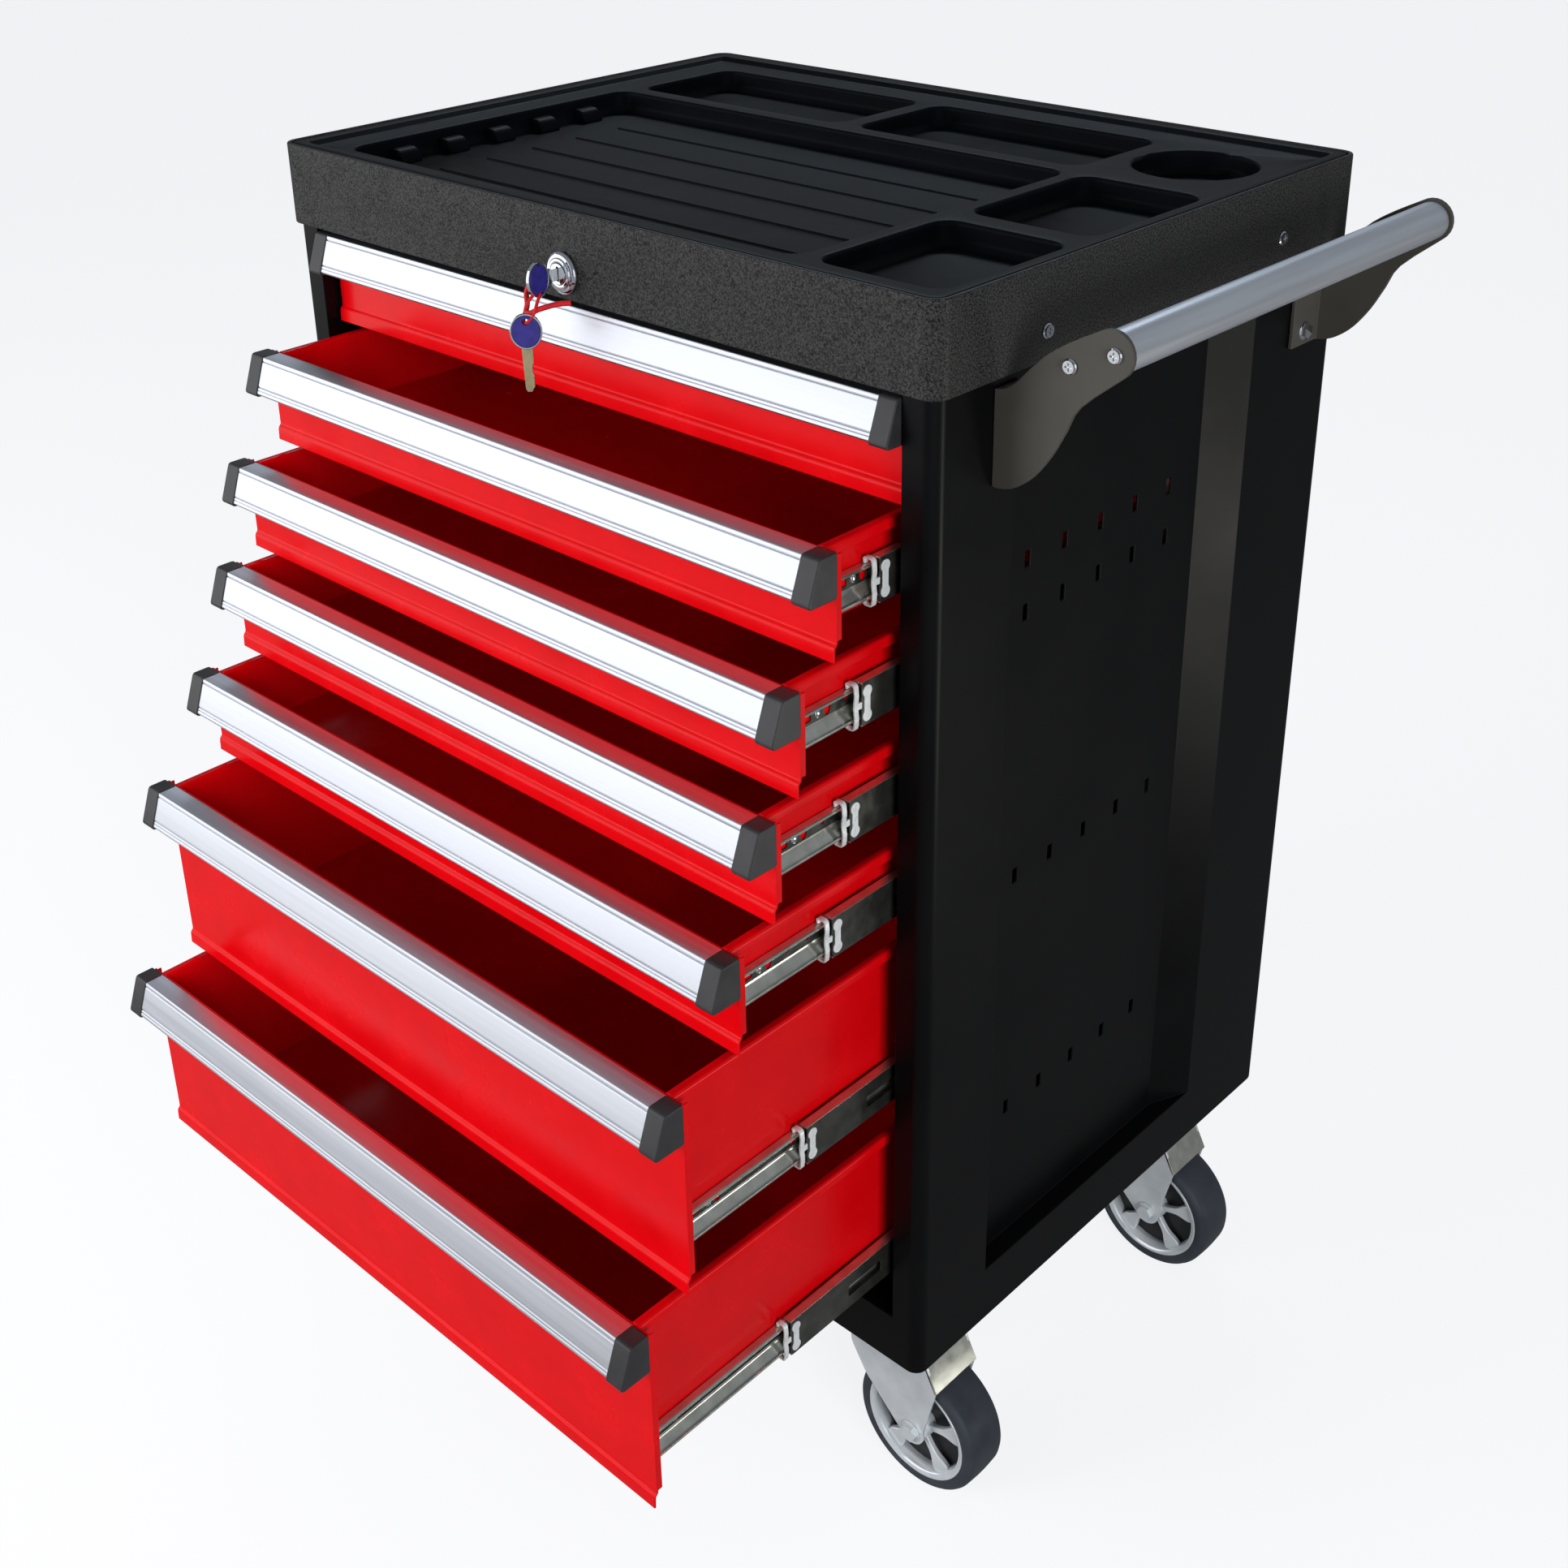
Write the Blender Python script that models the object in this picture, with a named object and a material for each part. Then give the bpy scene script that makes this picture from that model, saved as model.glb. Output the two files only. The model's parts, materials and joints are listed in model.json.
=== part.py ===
"""Rolling tool chest: a steel cabinet on four swivel casters, with seven drawers on telescopic slides.

Places are worked out in the cabinet's own frame: x = 0 in the middle of its width, y = 0 at the front face of
the top frame (y grows to the rear), z = 0 on the floor. An empty carries every part and moves that frame so
that the whole chest, with its drawers drawn out, stands centred on the origin. Everything is in metres.
"""

from math import cos, pi, radians, sin

import bmesh
import bpy
from mathutils import Matrix, Vector

# Driving dimensions
FRAME_WIDTH, FRAME_DEPTH, FRAME_HEIGHT = 0.616, 0.459, 0.059
CHEST_HEIGHT = 0.963
BODY_BOTTOM = 0.172
SHALLOW_PITCH, DEEP_PITCH = 0.0763, 0.1521
SHALLOW_DRAWERS, DEEP_DRAWERS = 5, 2
PANEL_HALF = 0.2773
DRAWER_DEPTH = 0.400
HANDLE_LENGTH = 0.531
WHEEL_RADIUS, TYRE_WIDTH = 0.056, 0.040
# How far each drawer stands open, from the top one down
OPEN = (0.0, 0.0659, 0.0976, 0.1195, 0.1522, 0.2022, 0.2388)

GAP = 0.0003  # clear air between pieces that touch
LAP = 0.0005  # how far shapes that a Boolean joins run into each other
PAST = 0.02  # how far a cutter runs out of what it cuts
SHEET = 0.0015  # cabinet steel, and the rolled slide members
TRAY_SHEET = 0.0012  # drawer steel

# Cabinet
BODY_OVERHANG = 0.004  # how far the top frame stands proud of the body
FRAME_WALL, FRAME_CORNER = 0.003, 0.012
FRAME_BOTTOM = CHEST_HEIGHT - FRAME_HEIGHT
BODY_HALF = FRAME_WIDTH / 2 - BODY_OVERHANG
BODY_FRONT, BODY_REAR = BODY_OVERHANG, FRAME_DEPTH - BODY_OVERHANG
BODY_TOP = FRAME_BOTTOM + 0.026
BODY_CORNER = 0.010
CORNER_STEPS = 7
OPENING_HALF = PANEL_HALF + 0.00245
OPENING_BOTTOM = BODY_BOTTOM + 0.042
POST_FLANGE, RAIL_FLANGE = 0.020, 0.016
REAR_FLANGE, REAR_LIP = 0.014, 0.014
RECESS_DEPTH, RECESS_FLOOR = 0.015, BODY_BOTTOM + 0.047
RECESS_FRONT, RECESS_REAR = (0.080, 0.090), (0.346, 0.311)  # y at the outer skin, then at the sunk panel
PANEL_INNER = BODY_HALF - RECESS_DEPTH - SHEET

# Hook slots in the sunk side panels
SLOT_WIDTH, SLOT_HEIGHT = 0.0045, 0.011
SLOT_FIRST, SLOT_SPACING, SLOTS_IN_ROW = 0.117, 0.0395, 5
SLOT_ROWS = (0.7665, 0.7295, 0.5325, 0.3365)

# Worktop: compartments as (x, y) pairs of (low, high), with a corner radius
COMPARTMENTS = {
    "large_tray": ((-0.268, 0.176), (0.030, 0.301), 0.014),
    "rear_left_tray": ((-0.262, -0.048), (0.318, 0.418), 0.014),
    "rear_middle_tray": ((-0.030, 0.172), (0.318, 0.418), 0.014),
    "right_front_tray": ((0.190, 0.286), (0.030, 0.152), 0.014),
    "right_middle_tray": ((0.190, 0.286), (0.174, 0.300), 0.014),
    "cup_holder": ((0.189, 0.275), (0.329, 0.415), 0.043),
}
WORKTOP_WALL = 0.0025
DECK_TOP = CHEST_HEIGHT - 0.0045
COMPARTMENT_FLOOR = CHEST_HEIGHT - 0.0205

# Drawers: the heights are measured down from each drawer's top edge
PANEL_FRONT = 0.0168
FIRST_TOP = FRAME_BOTTOM - 0.004
PANEL_GAP = 0.0066  # between one front panel's foot and the next drawer's top
SHALLOW_TRAY, DEEP_TRAY = 0.052, 0.124
SHALLOW_SLIDE, DEEP_SLIDE = 0.034, 0.105
REAR_WALL_DROP = 0.008
TRAY_HALF = 0.263
TRAY_REAR = PANEL_FRONT + DRAWER_DEPTH
HANDLE_REACH = 0.0080  # how far the slanted foot of a handle cap stands in front of the top frame

# Slides: the three members' half heights, and the x of each member's web and of its flanges' tips
SLIDE_FRONT, SLIDE_REAR = 0.0270, 0.4150
OUTER_HALF_HEIGHT, RUNNER_HALF_HEIGHT, INNER_HALF_HEIGHT = 0.0175, 0.0152, 0.0110
OUTER_WEB, OUTER_TIP = 0.2757, 0.2645
RUNNER_WEB, RUNNER_TIP = 0.2734, 0.2650
INNER_WEB, INNER_TIP, INNER_SHEET = TRAY_HALF - 0.0008, 0.2708, 0.0020
POSTS = ((0.096, 0.116), (0.284, 0.304))  # y of the uprights that hold the outer members

LOCK_Z = FRAME_BOTTOM + 0.018

TUBE_X, TUBE_Z, TUBE_RADIUS = 0.382, FIRST_TOP + 0.0345, 0.0125
BRACKET_SHEET, BRACKET_REACH = 0.003, 0.0145
BRACKET_FRONT, BRACKET_REAR = 0.057, 0.4275
BRACKET_FOOT = 0.0625  # below the drawer handles' top

CASTER_X, CASTER_Y = 0.234, 0.0706
CASTER_TRAIL = 0.030
AXLE_RADIUS, BOLT_RADIUS, BOLT_HEAD = 0.0042, 0.0075, 0.004


def drawer_tops():
    """The height of every drawer's handle top, from the top drawer down."""
    tops = [FIRST_TOP - SHALLOW_PITCH * i for i in range(SHALLOW_DRAWERS + 1)]
    for _ in range(DEEP_DRAWERS - 1):
        tops.append(tops[-1] - DEEP_PITCH)
    return tops


TOPS = drawer_tops()
DEEPS = [i >= SHALLOW_DRAWERS for i in range(len(TOPS))]
CHEST_FRONT = -OPEN[-1] - HANDLE_REACH
CHEST_RIGHT = TUBE_X + BRACKET_REACH
CENTRE_X = (CHEST_RIGHT - FRAME_WIDTH / 2) / 2
CENTRE_Y = (CHEST_FRONT + FRAME_DEPTH) / 2


# Scene and materials
for old in list(bpy.data.objects):
    bpy.data.objects.remove(old, do_unlink=True)

scene = bpy.context.scene
chest = bpy.data.collections.new("rolling_tool_chest")
helpers = bpy.data.collections.new("cutters_and_joiners")
scene.collection.children.link(chest)
scene.collection.children.link(helpers)
helpers.hide_render = True

cabinet_frame = bpy.data.objects.new("cabinet_frame", None)
cabinet_frame.location = (-CENTRE_X, -CENTRE_Y, 0)
chest.objects.link(cabinet_frame)


def material(name, colour, metallic, roughness):
    made = bpy.data.materials.new(name)
    made.use_nodes = True
    shader = made.node_tree.nodes["Principled BSDF"]
    shader.inputs["Base Color"].default_value = (*colour, 1)
    shader.inputs["Metallic"].default_value = metallic
    shader.inputs["Roughness"].default_value = roughness
    return made


BLACK_PAINT = material("black_paint", (0.015, 0.016, 0.018), 0.0, 0.35)
HAMMER_PAINT = material("hammer_paint", (0.060, 0.058, 0.055), 0.3, 0.55)
RED_PAINT = material("red_paint", (0.62, 0.008, 0.012), 0.0, 0.22)
ALUMINIUM = material("aluminium", (0.82, 0.84, 0.88), 1.0, 0.35)
ZINC = material("zinc", (0.62, 0.62, 0.60), 1.0, 0.3)
CHROME = material("chrome", (0.85, 0.86, 0.88), 1.0, 0.08)
BLACK_PLASTIC = material("black_plastic", (0.012, 0.013, 0.016), 0.0, 0.4)
KEY_PLASTIC = material("key_plastic", (0.03, 0.03, 0.30), 0.0, 0.3)
TYRE_RUBBER = material("tyre_rubber", (0.020, 0.021, 0.024), 0.0, 0.6)


# Outlines: lists of points in a plane
def arc(centre, radius, start, end, steps):
    """Points round a centre, from one angle in degrees to another."""
    angles = [radians(start + (end - start) * i / steps) for i in range(steps + 1)]
    return [(centre[0] + radius * cos(a), centre[1] + radius * sin(a)) for a in angles]


def flowing(points, steps):
    """A smooth curve through points, with its two ends kept, as extra points between them."""
    padded = [points[0], *points, points[-1]]
    found = []
    for before, start, end, after in zip(padded, padded[1:], padded[2:], padded[3:]):
        for i in range(steps):
            t = i / steps
            weights = (-t + 2 * t**2 - t**3, 2 - 5 * t**2 + 3 * t**3, t + 4 * t**2 - 3 * t**3, t**3 - t**2)
            sides = zip(before, start, end, after)
            found.append(tuple(sum(w * p for w, p in zip(weights, side)) / 2 for side in sides))
    return [*found, points[-1]]


def rounded_rectangle(x, y, radius, steps=3):
    """A rectangle with round corners, from two (low, high) pairs."""
    outline = arc((x[1] - radius, y[1] - radius), radius, 0, 90, steps)
    outline += arc((x[0] + radius, y[1] - radius), radius, 90, 180, steps)
    outline += arc((x[0] + radius, y[0] + radius), radius, 180, 270, steps)
    return outline + arc((x[1] - radius, y[0] + radius), radius, 270, 360, steps)


def both_sides(outline):
    """An outline given for the right-hand side, closed with its mirror image on the left."""
    return outline + [(-x, z) for x, z in reversed(outline)]


def on_side(side, outline):
    return [(side * x, y) for x, y in outline]


# Shapes: each returns a function that adds one closed shape to a bmesh
AXIS_ORDER = {
    "X": lambda a, b, along: Vector((along, a, b)),
    "Y": lambda a, b, along: Vector((a, along, b)),
    "Z": lambda a, b, along: Vector((a, b, along)),
}


def prism(outline, axis, low, high):
    """An outline, drawn across an axis, stretched along it."""
    place = AXIS_ORDER[axis]

    def add(work):
        base = work.faces.new([work.verts.new(place(a, b, low)) for a, b in outline])
        raised = bmesh.ops.extrude_face_region(work, geom=[base])["geom"]
        corners = [item for item in raised if isinstance(item, bmesh.types.BMVert)]
        bmesh.ops.translate(work, verts=corners, vec=place(0, 0, high - low))

    return add


def box(x, y, z):
    """A block from three (low, high) pairs."""
    size = Vector([high - low for low, high in (x, y, z)])
    centre = Vector([(high + low) / 2 for low, high in (x, y, z)])

    def add(work):
        bmesh.ops.create_cube(work, size=1, matrix=Matrix.LocRotScale(centre, None, size))

    return add


def rod(axis, centre, radius, low, high, steps=24):
    """A round bar along an axis; low and high are measured from the centre."""
    along = AXIS_ORDER[axis](0, 0, 1)
    middle = Vector(centre) + along * (low + high) / 2
    turn = Vector((0, 0, 1)).rotation_difference(along)

    def add(work):
        bmesh.ops.create_cone(
            work,
            cap_ends=True,
            segments=steps,
            radius1=radius,
            radius2=radius,
            depth=high - low,
            matrix=Matrix.LocRotScale(middle, turn, None),
        )

    return add


def turned(profile, axis, centre, steps):
    """Turns (radius, height) pairs about an axis; the profile is closed, or starts and ends on the axis."""
    place = AXIS_ORDER[axis]
    middle = Vector(centre)
    on_axis = profile[0][0] == 0

    def add(work):
        before = set(work.verts)
        points = [work.verts.new(middle + place(radius, 0, height)) for radius, height in profile]
        following = points[1:] if on_axis else points[1:] + points[:1]
        lines = [work.edges.new(pair) for pair in zip(points, following)]
        spindle, geom = place(0, 0, 1), points + lines
        bmesh.ops.spin(
            work, geom=geom, cent=middle, axis=spindle, angle=2 * pi, steps=steps, use_merge=True
        )
        added = [point for point in work.verts if point not in before]
        bmesh.ops.remove_doubles(work, verts=added, dist=1e-6)

    return add


def mesh_object(name, shapes, collection, origin=(0, 0, 0)):
    """One object from several shapes, given in the cabinet's frame, with its own origin where asked."""
    work = bmesh.new()
    for add in shapes:
        add(work)
    bmesh.ops.translate(work, verts=work.verts, vec=-Vector(origin))
    bmesh.ops.recalc_face_normals(work, faces=work.faces)
    mesh = bpy.data.meshes.new(name)
    work.to_mesh(mesh)
    work.free()
    made = bpy.data.objects.new(name, mesh)
    made.location = origin
    made.parent = cabinet_frame
    collection.objects.link(made)
    return made


def part(name, finish, *shapes, origin=(0, 0, 0)):
    made = mesh_object(name, shapes, chest, origin)
    made.data.materials.append(finish)
    return made


def combine(target, operation, *shapes):
    """Joins shapes to a part, or cuts them from it, through a helper that isn't rendered."""
    label = f"{target.name}_{operation.lower()}_{len(target.modifiers)}"
    helper = mesh_object(label, shapes, helpers)
    helper.hide_render = True
    helper.display_type = "WIRE"
    step = target.modifiers.new(label, "BOOLEAN")
    step.operation = operation
    step.solver = "EXACT"
    step.object = helper
    return helper


def join(target, *shapes):
    return combine(target, "UNION", *shapes)


def cut(target, *shapes):
    return combine(target, "DIFFERENCE", *shapes)


# Cabinet
def recess(side, grown):
    """The sunk side panel's hollow, or, grown by the sheet, what its sheet takes from the inside."""
    depth = BODY_HALF - RECESS_DEPTH - grown
    outline = [
        (depth, RECESS_FRONT[1] - grown),
        (BODY_HALF, RECESS_FRONT[0] - grown),
        (BODY_HALF + PAST, RECESS_FRONT[0] - grown),
        (BODY_HALF + PAST, RECESS_REAR[0] + grown),
        (BODY_HALF, RECESS_REAR[0] + grown),
        (depth, RECESS_REAR[1] + grown),
    ]
    return prism(on_side(side, outline), "Z", RECESS_FLOOR - grown, BODY_TOP + PAST)


def slots(side):
    """Upright hook slots in the sunk panel, in rows."""
    across = sorted((side * (PANEL_INNER - PAST), side * BODY_HALF))
    found = []
    for z in SLOT_ROWS:
        for i in range(SLOTS_IN_ROW):
            y = SLOT_FIRST + SLOT_SPACING * i
            along = (y - SLOT_WIDTH / 2, y + SLOT_WIDTH / 2)
            found.append(box(across, along, (z - SLOT_HEIGHT / 2, z + SLOT_HEIGHT / 2)))
    return found


def cabinet_shell():
    skin = rounded_rectangle((-BODY_HALF, BODY_HALF), (BODY_FRONT, BODY_REAR), BODY_CORNER, CORNER_STEPS)
    shell = part("cabinet_shell", BLACK_PAINT, prism(skin, "Z", BODY_BOTTOM, BODY_TOP))
    cut(shell, recess(1, 0), recess(-1, 0))
    inside_x = (SHEET - BODY_HALF, BODY_HALF - SHEET)
    inside_y = (BODY_FRONT + SHEET, BODY_REAR - SHEET)
    inside = rounded_rectangle(inside_x, inside_y, BODY_CORNER - SHEET, CORNER_STEPS)
    hollow = cut(shell, prism(inside, "Z", BODY_BOTTOM + SHEET, BODY_TOP + PAST))
    cut(hollow, recess(1, SHEET), recess(-1, SHEET))

    above = BODY_TOP + PAST
    through_front = (BODY_FRONT - PAST, inside_y[0] + LAP)
    through_rear = (inside_y[1] - LAP, BODY_REAR + PAST)
    rear_half = BODY_HALF - REAR_FLANGE
    cut(
        shell,
        box((-OPENING_HALF, OPENING_HALF), through_front, (OPENING_BOTTOM, above)),
        box((-rear_half, rear_half), through_rear, (BODY_BOTTOM + REAR_LIP, above)),
    )
    cut(shell, *slots(1), *slots(-1))

    skin_back = BODY_FRONT + GAP
    for side in (-1, 1):
        across = sorted((side * OPENING_HALF, side * (OPENING_HALF + SHEET)))
        tall = (BODY_BOTTOM + LAP, BODY_TOP)
        join(shell, box(across, (skin_back, BODY_FRONT + POST_FLANGE), tall))
    across = (-OPENING_HALF - SHEET / 2, OPENING_HALF + SHEET / 2)
    under = (OPENING_BOTTOM - SHEET, OPENING_BOTTOM)
    join(shell, box(across, (skin_back, BODY_FRONT + RAIL_FLANGE), under))


def back_panel():
    """A sheet inside the rear flanges, with two stiffening ribs pressed inwards."""
    half, rear = BODY_HALF - SHEET - 0.009, BODY_REAR - SHEET - GAP
    low, high = BODY_BOTTOM + SHEET + GAP, BODY_TOP - 0.001
    rib_half, rib_height, rib_depth, rib_feet = 0.240, 0.030, 0.0055, (0.36, 0.66)
    panel = part("back_panel", BLACK_PAINT, box((-half, half), (rear - SHEET, rear), (low, high)))
    for foot in rib_feet:
        join(panel, box((-rib_half, rib_half), (rear - rib_depth, rear - LAP), (foot, foot + rib_height)))


def frame_outline(inset):
    """The top frame's outline from above, drawn in by an inset."""
    half = FRAME_WIDTH / 2 - inset
    return rounded_rectangle((-half, half), (inset, FRAME_DEPTH - inset), FRAME_CORNER - inset, CORNER_STEPS)


def top_frame():
    frame = part("top_frame", HAMMER_PAINT, prism(frame_outline(0), "Z", FRAME_BOTTOM, CHEST_HEIGHT))
    cut(frame, prism(frame_outline(FRAME_WALL), "Z", FRAME_BOTTOM - PAST, CHEST_HEIGHT + PAST))

    # A narrow ledge inside carries the worktop's rim
    ledge_low, ledge_high, ledge_depth = CHEST_HEIGHT - 0.0185, CHEST_HEIGHT - 0.0165, 0.014
    ledge = join(frame, prism(frame_outline(0.001), "Z", ledge_low, ledge_high))
    well_half = FRAME_WIDTH / 2 - FRAME_WALL - ledge_depth
    well = rounded_rectangle((-well_half, well_half), (ledge_depth, FRAME_DEPTH - ledge_depth), 0.006, 2)
    cut(ledge, prism(well, "Z", ledge_low - PAST, ledge_high + PAST))
    lock_hole = 0.0101
    cut(frame, rod("Y", (0, 0, LOCK_Z), lock_hole, -PAST, FRAME_WALL + 0.004))


def compartment(name, grown, low, high):
    x, y, radius = COMPARTMENTS[name]
    steps = 6 if name == "cup_holder" else 3
    grow_x, grow_y = ((pair[0] - grown, pair[1] + grown) for pair in (x, y))
    return prism(rounded_rectangle(grow_x, grow_y, radius + grown, steps), "Z", low, high)


def worktop_tray():
    clear = FRAME_WALL + LAP
    half, front, rear = FRAME_WIDTH / 2 - clear, clear, FRAME_DEPTH - clear
    rim_low, rim_high = CHEST_HEIGHT - 0.0162, CHEST_HEIGHT - 0.0005
    rim_width, skirt_wall, deck_sheet = 0.010, 0.003, 0.003

    def inset(by):
        radius = max(FRAME_CORNER - clear - by, 0.003)
        return rounded_rectangle((-half + by, half - by), (front + by, rear - by), radius, 4)

    tray = part("worktop_tray", BLACK_PLASTIC, prism(inset(0), "Z", rim_low, rim_high))
    cut(
        tray,
        prism(inset(rim_width), "Z", DECK_TOP, rim_high + PAST),
        prism(inset(skirt_wall), "Z", rim_low - PAST, DECK_TOP - deck_sheet),
    )
    pans = [
        compartment(name, WORKTOP_WALL, COMPARTMENT_FLOOR - WORKTOP_WALL, DECK_TOP - 0.001)
        for name in COMPARTMENTS
    ]
    join(tray, *pans)
    cut(tray, *(compartment(name, 0, COMPARTMENT_FLOOR, DECK_TOP + PAST) for name in COMPARTMENTS))

    # Low ribs across the large tray's floor, and the rests moulded against its left wall
    x, y, _ = COMPARTMENTS["large_tray"]
    count, rib_height, rest_height = 5, 0.0012, 0.011
    foot = COMPARTMENT_FLOOR - 0.001
    rib_x, rib_half, rib_spacing = (x[0] + 0.050, x[1] - 0.012), 0.001, 0.044
    rest_x, rest_half, rest_spacing = (x[0] - 0.001, x[0] + 0.022), 0.010, 0.045
    fittings = []
    for i in range(1, count + 1):
        rib_y, rest_y = y[0] + rib_spacing * i, y[0] + rest_spacing * i
        rib_top, rest_top = COMPARTMENT_FLOOR + rib_height, COMPARTMENT_FLOOR + rest_height
        fittings.append(box(rib_x, (rib_y - rib_half, rib_y + rib_half), (foot, rib_top)))
        fittings.append(box(rest_x, (rest_y - rest_half, rest_y + rest_half), (foot, rest_top)))
    join(tray, *fittings)


# Lock
def lock():
    centre = (0, 0, LOCK_Z)
    bore, barrel, flange = 0.0073, 0.0097, 0.0140
    face, edge, barrel_end = -0.0045, -0.0025, 0.0260
    profile = [
        (bore, face),
        (flange - 0.002, face),
        (flange, edge),
        (flange, -GAP),
        (barrel, -GAP),
        (barrel, barrel_end),
        (bore, barrel_end),
    ]
    part("lock_body", CHROME, turned(profile, "Y", centre, 24), origin=centre)

    # The plug turns in the body, with a keyway in front and a cam behind
    plug_face, plug_end, cam_sheet = -0.0052, 0.0290, 0.002
    plug = part("lock_plug", CHROME, rod("Y", centre, bore - GAP, plug_face, plug_end, 20), origin=centre)
    cam = (plug_end - LAP, plug_end - LAP + cam_sheet)
    join(plug, box((-0.004, 0.015), cam, (LOCK_Z - 0.004, LOCK_Z + 0.004)))
    keyway_half, keyway_height, keyway_end = 0.0010, 0.0048, 0.0060
    keyway_z = (LOCK_Z - keyway_height, LOCK_Z + keyway_height)
    cut(plug, box((-keyway_half, keyway_half), (-PAST, keyway_end), keyway_z))

    # The key: a flat oval head and a blade that stands in the keyway
    head_y, head_reach, head_height, head_half = -0.0215, 0.0088, 0.0115, 0.0014
    turns = [2 * pi * i / 20 for i in range(20)]
    head = [(head_y + head_reach * cos(a), LOCK_Z + head_height * sin(a)) for a in turns]
    key = part("lock_key", KEY_PLASTIC, prism(head, "X", -head_half, head_half), origin=centre)
    blade_half, blade_height = 0.0006, 0.0040
    blade_z = (LOCK_Z - blade_height, LOCK_Z + blade_height)
    join(key, box((-blade_half, blade_half), (-0.0150, keyway_end - 0.001), blade_z))


def lock_bar():
    """The rod from the lock to the rear, and the bar whose tabs drop inside each drawer's rear wall."""
    bar_y, bar_top = (0.4260, 0.4285), LOCK_Z + 0.009
    lowest = TOPS[-1] - 0.020
    origin = (0.013, bar_y[0], bar_top)
    bar = part("lock_bar", ZINC, box((0.003, 0.023), bar_y, (lowest, bar_top)), origin=origin)
    rod_start, rod_height = 0.0335, 0.006
    join(bar, box((0.010, 0.016), (rod_start, bar_y[1] - LAP), (bar_top - rod_height, bar_top)))
    root, tip, tab_sheet, shelf, tab_foot = bar_y[0] + 0.001, 0.4075, 0.002, 0.005, -0.006
    hook = [
        (root, shelf),
        (tip, shelf),
        (tip, tab_foot),
        (tip + tab_sheet, tab_foot),
        (tip + tab_sheet, shelf - tab_sheet),
        (root, shelf - tab_sheet),
    ]
    join(bar, *(prism([(y, top + z) for y, z in hook], "X", 0.004, 0.022) for top in TOPS))


# Drawers and slides
def slide_height(number):
    return TOPS[number] - (DEEP_SLIDE if DEEPS[number] else SHALLOW_SLIDE)


def channel(side, centre_z, web, tip, half_height, sheet):
    """A slide member's section: an upright web, with a flange above and below it that reaches to tip."""
    inward = -1 if tip < web else 1
    inner_web, inner_half = web + inward * sheet, half_height - sheet
    outline = [
        (web, half_height),
        (tip, half_height),
        (tip, inner_half),
        (inner_web, inner_half),
        (inner_web, -inner_half),
        (tip, -inner_half),
        (tip, -half_height),
        (web, -half_height),
    ]
    return [(side * x, centre_z + z) for x, z in outline]


def slide_carrier(side, name):
    """The cabinet's half of the slides on one side: seven outer members on two uprights."""
    across = sorted((side * (OUTER_WEB - SHEET / 2), side * (PANEL_INNER - LAP)))
    tall = (BODY_BOTTOM + SHEET + GAP, TOPS[0] - 0.003)
    carrier = part(name, ZINC, box(across, POSTS[0], tall))
    outer = (OUTER_WEB, OUTER_TIP, OUTER_HALF_HEIGHT, SHEET)
    sections = [channel(side, slide_height(i), *outer) for i in range(len(TOPS))]
    join(carrier, *(prism(section, "Y", SLIDE_FRONT + SHEET, SLIDE_REAR) for section in sections))
    join(carrier, box(across, POSTS[1], tall))


def runner(number, side, name):
    """The middle slide member, drawn out half as far as its drawer."""
    y = -OPEN[number] / 2
    front, rear = SLIDE_FRONT + y, SLIDE_REAR + y
    z = slide_height(number)
    section = channel(side, z, RUNNER_WEB, RUNNER_TIP, RUNNER_HALF_HEIGHT, SHEET)
    made = part(name, ZINC, prism(section, "Y", front, rear), origin=(side * RUNNER_WEB, front, z))
    across = sorted((side * (RUNNER_WEB - 0.0034), side * (RUNNER_WEB + 0.0026)))
    window_starts, window_length, window_half = (0.058, 0.290), 0.034, 0.0045
    for start in window_starts:
        along = (front + start, front + start + window_length)
        cut(made, box(across, along, (z - window_half, z + window_half)))


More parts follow.
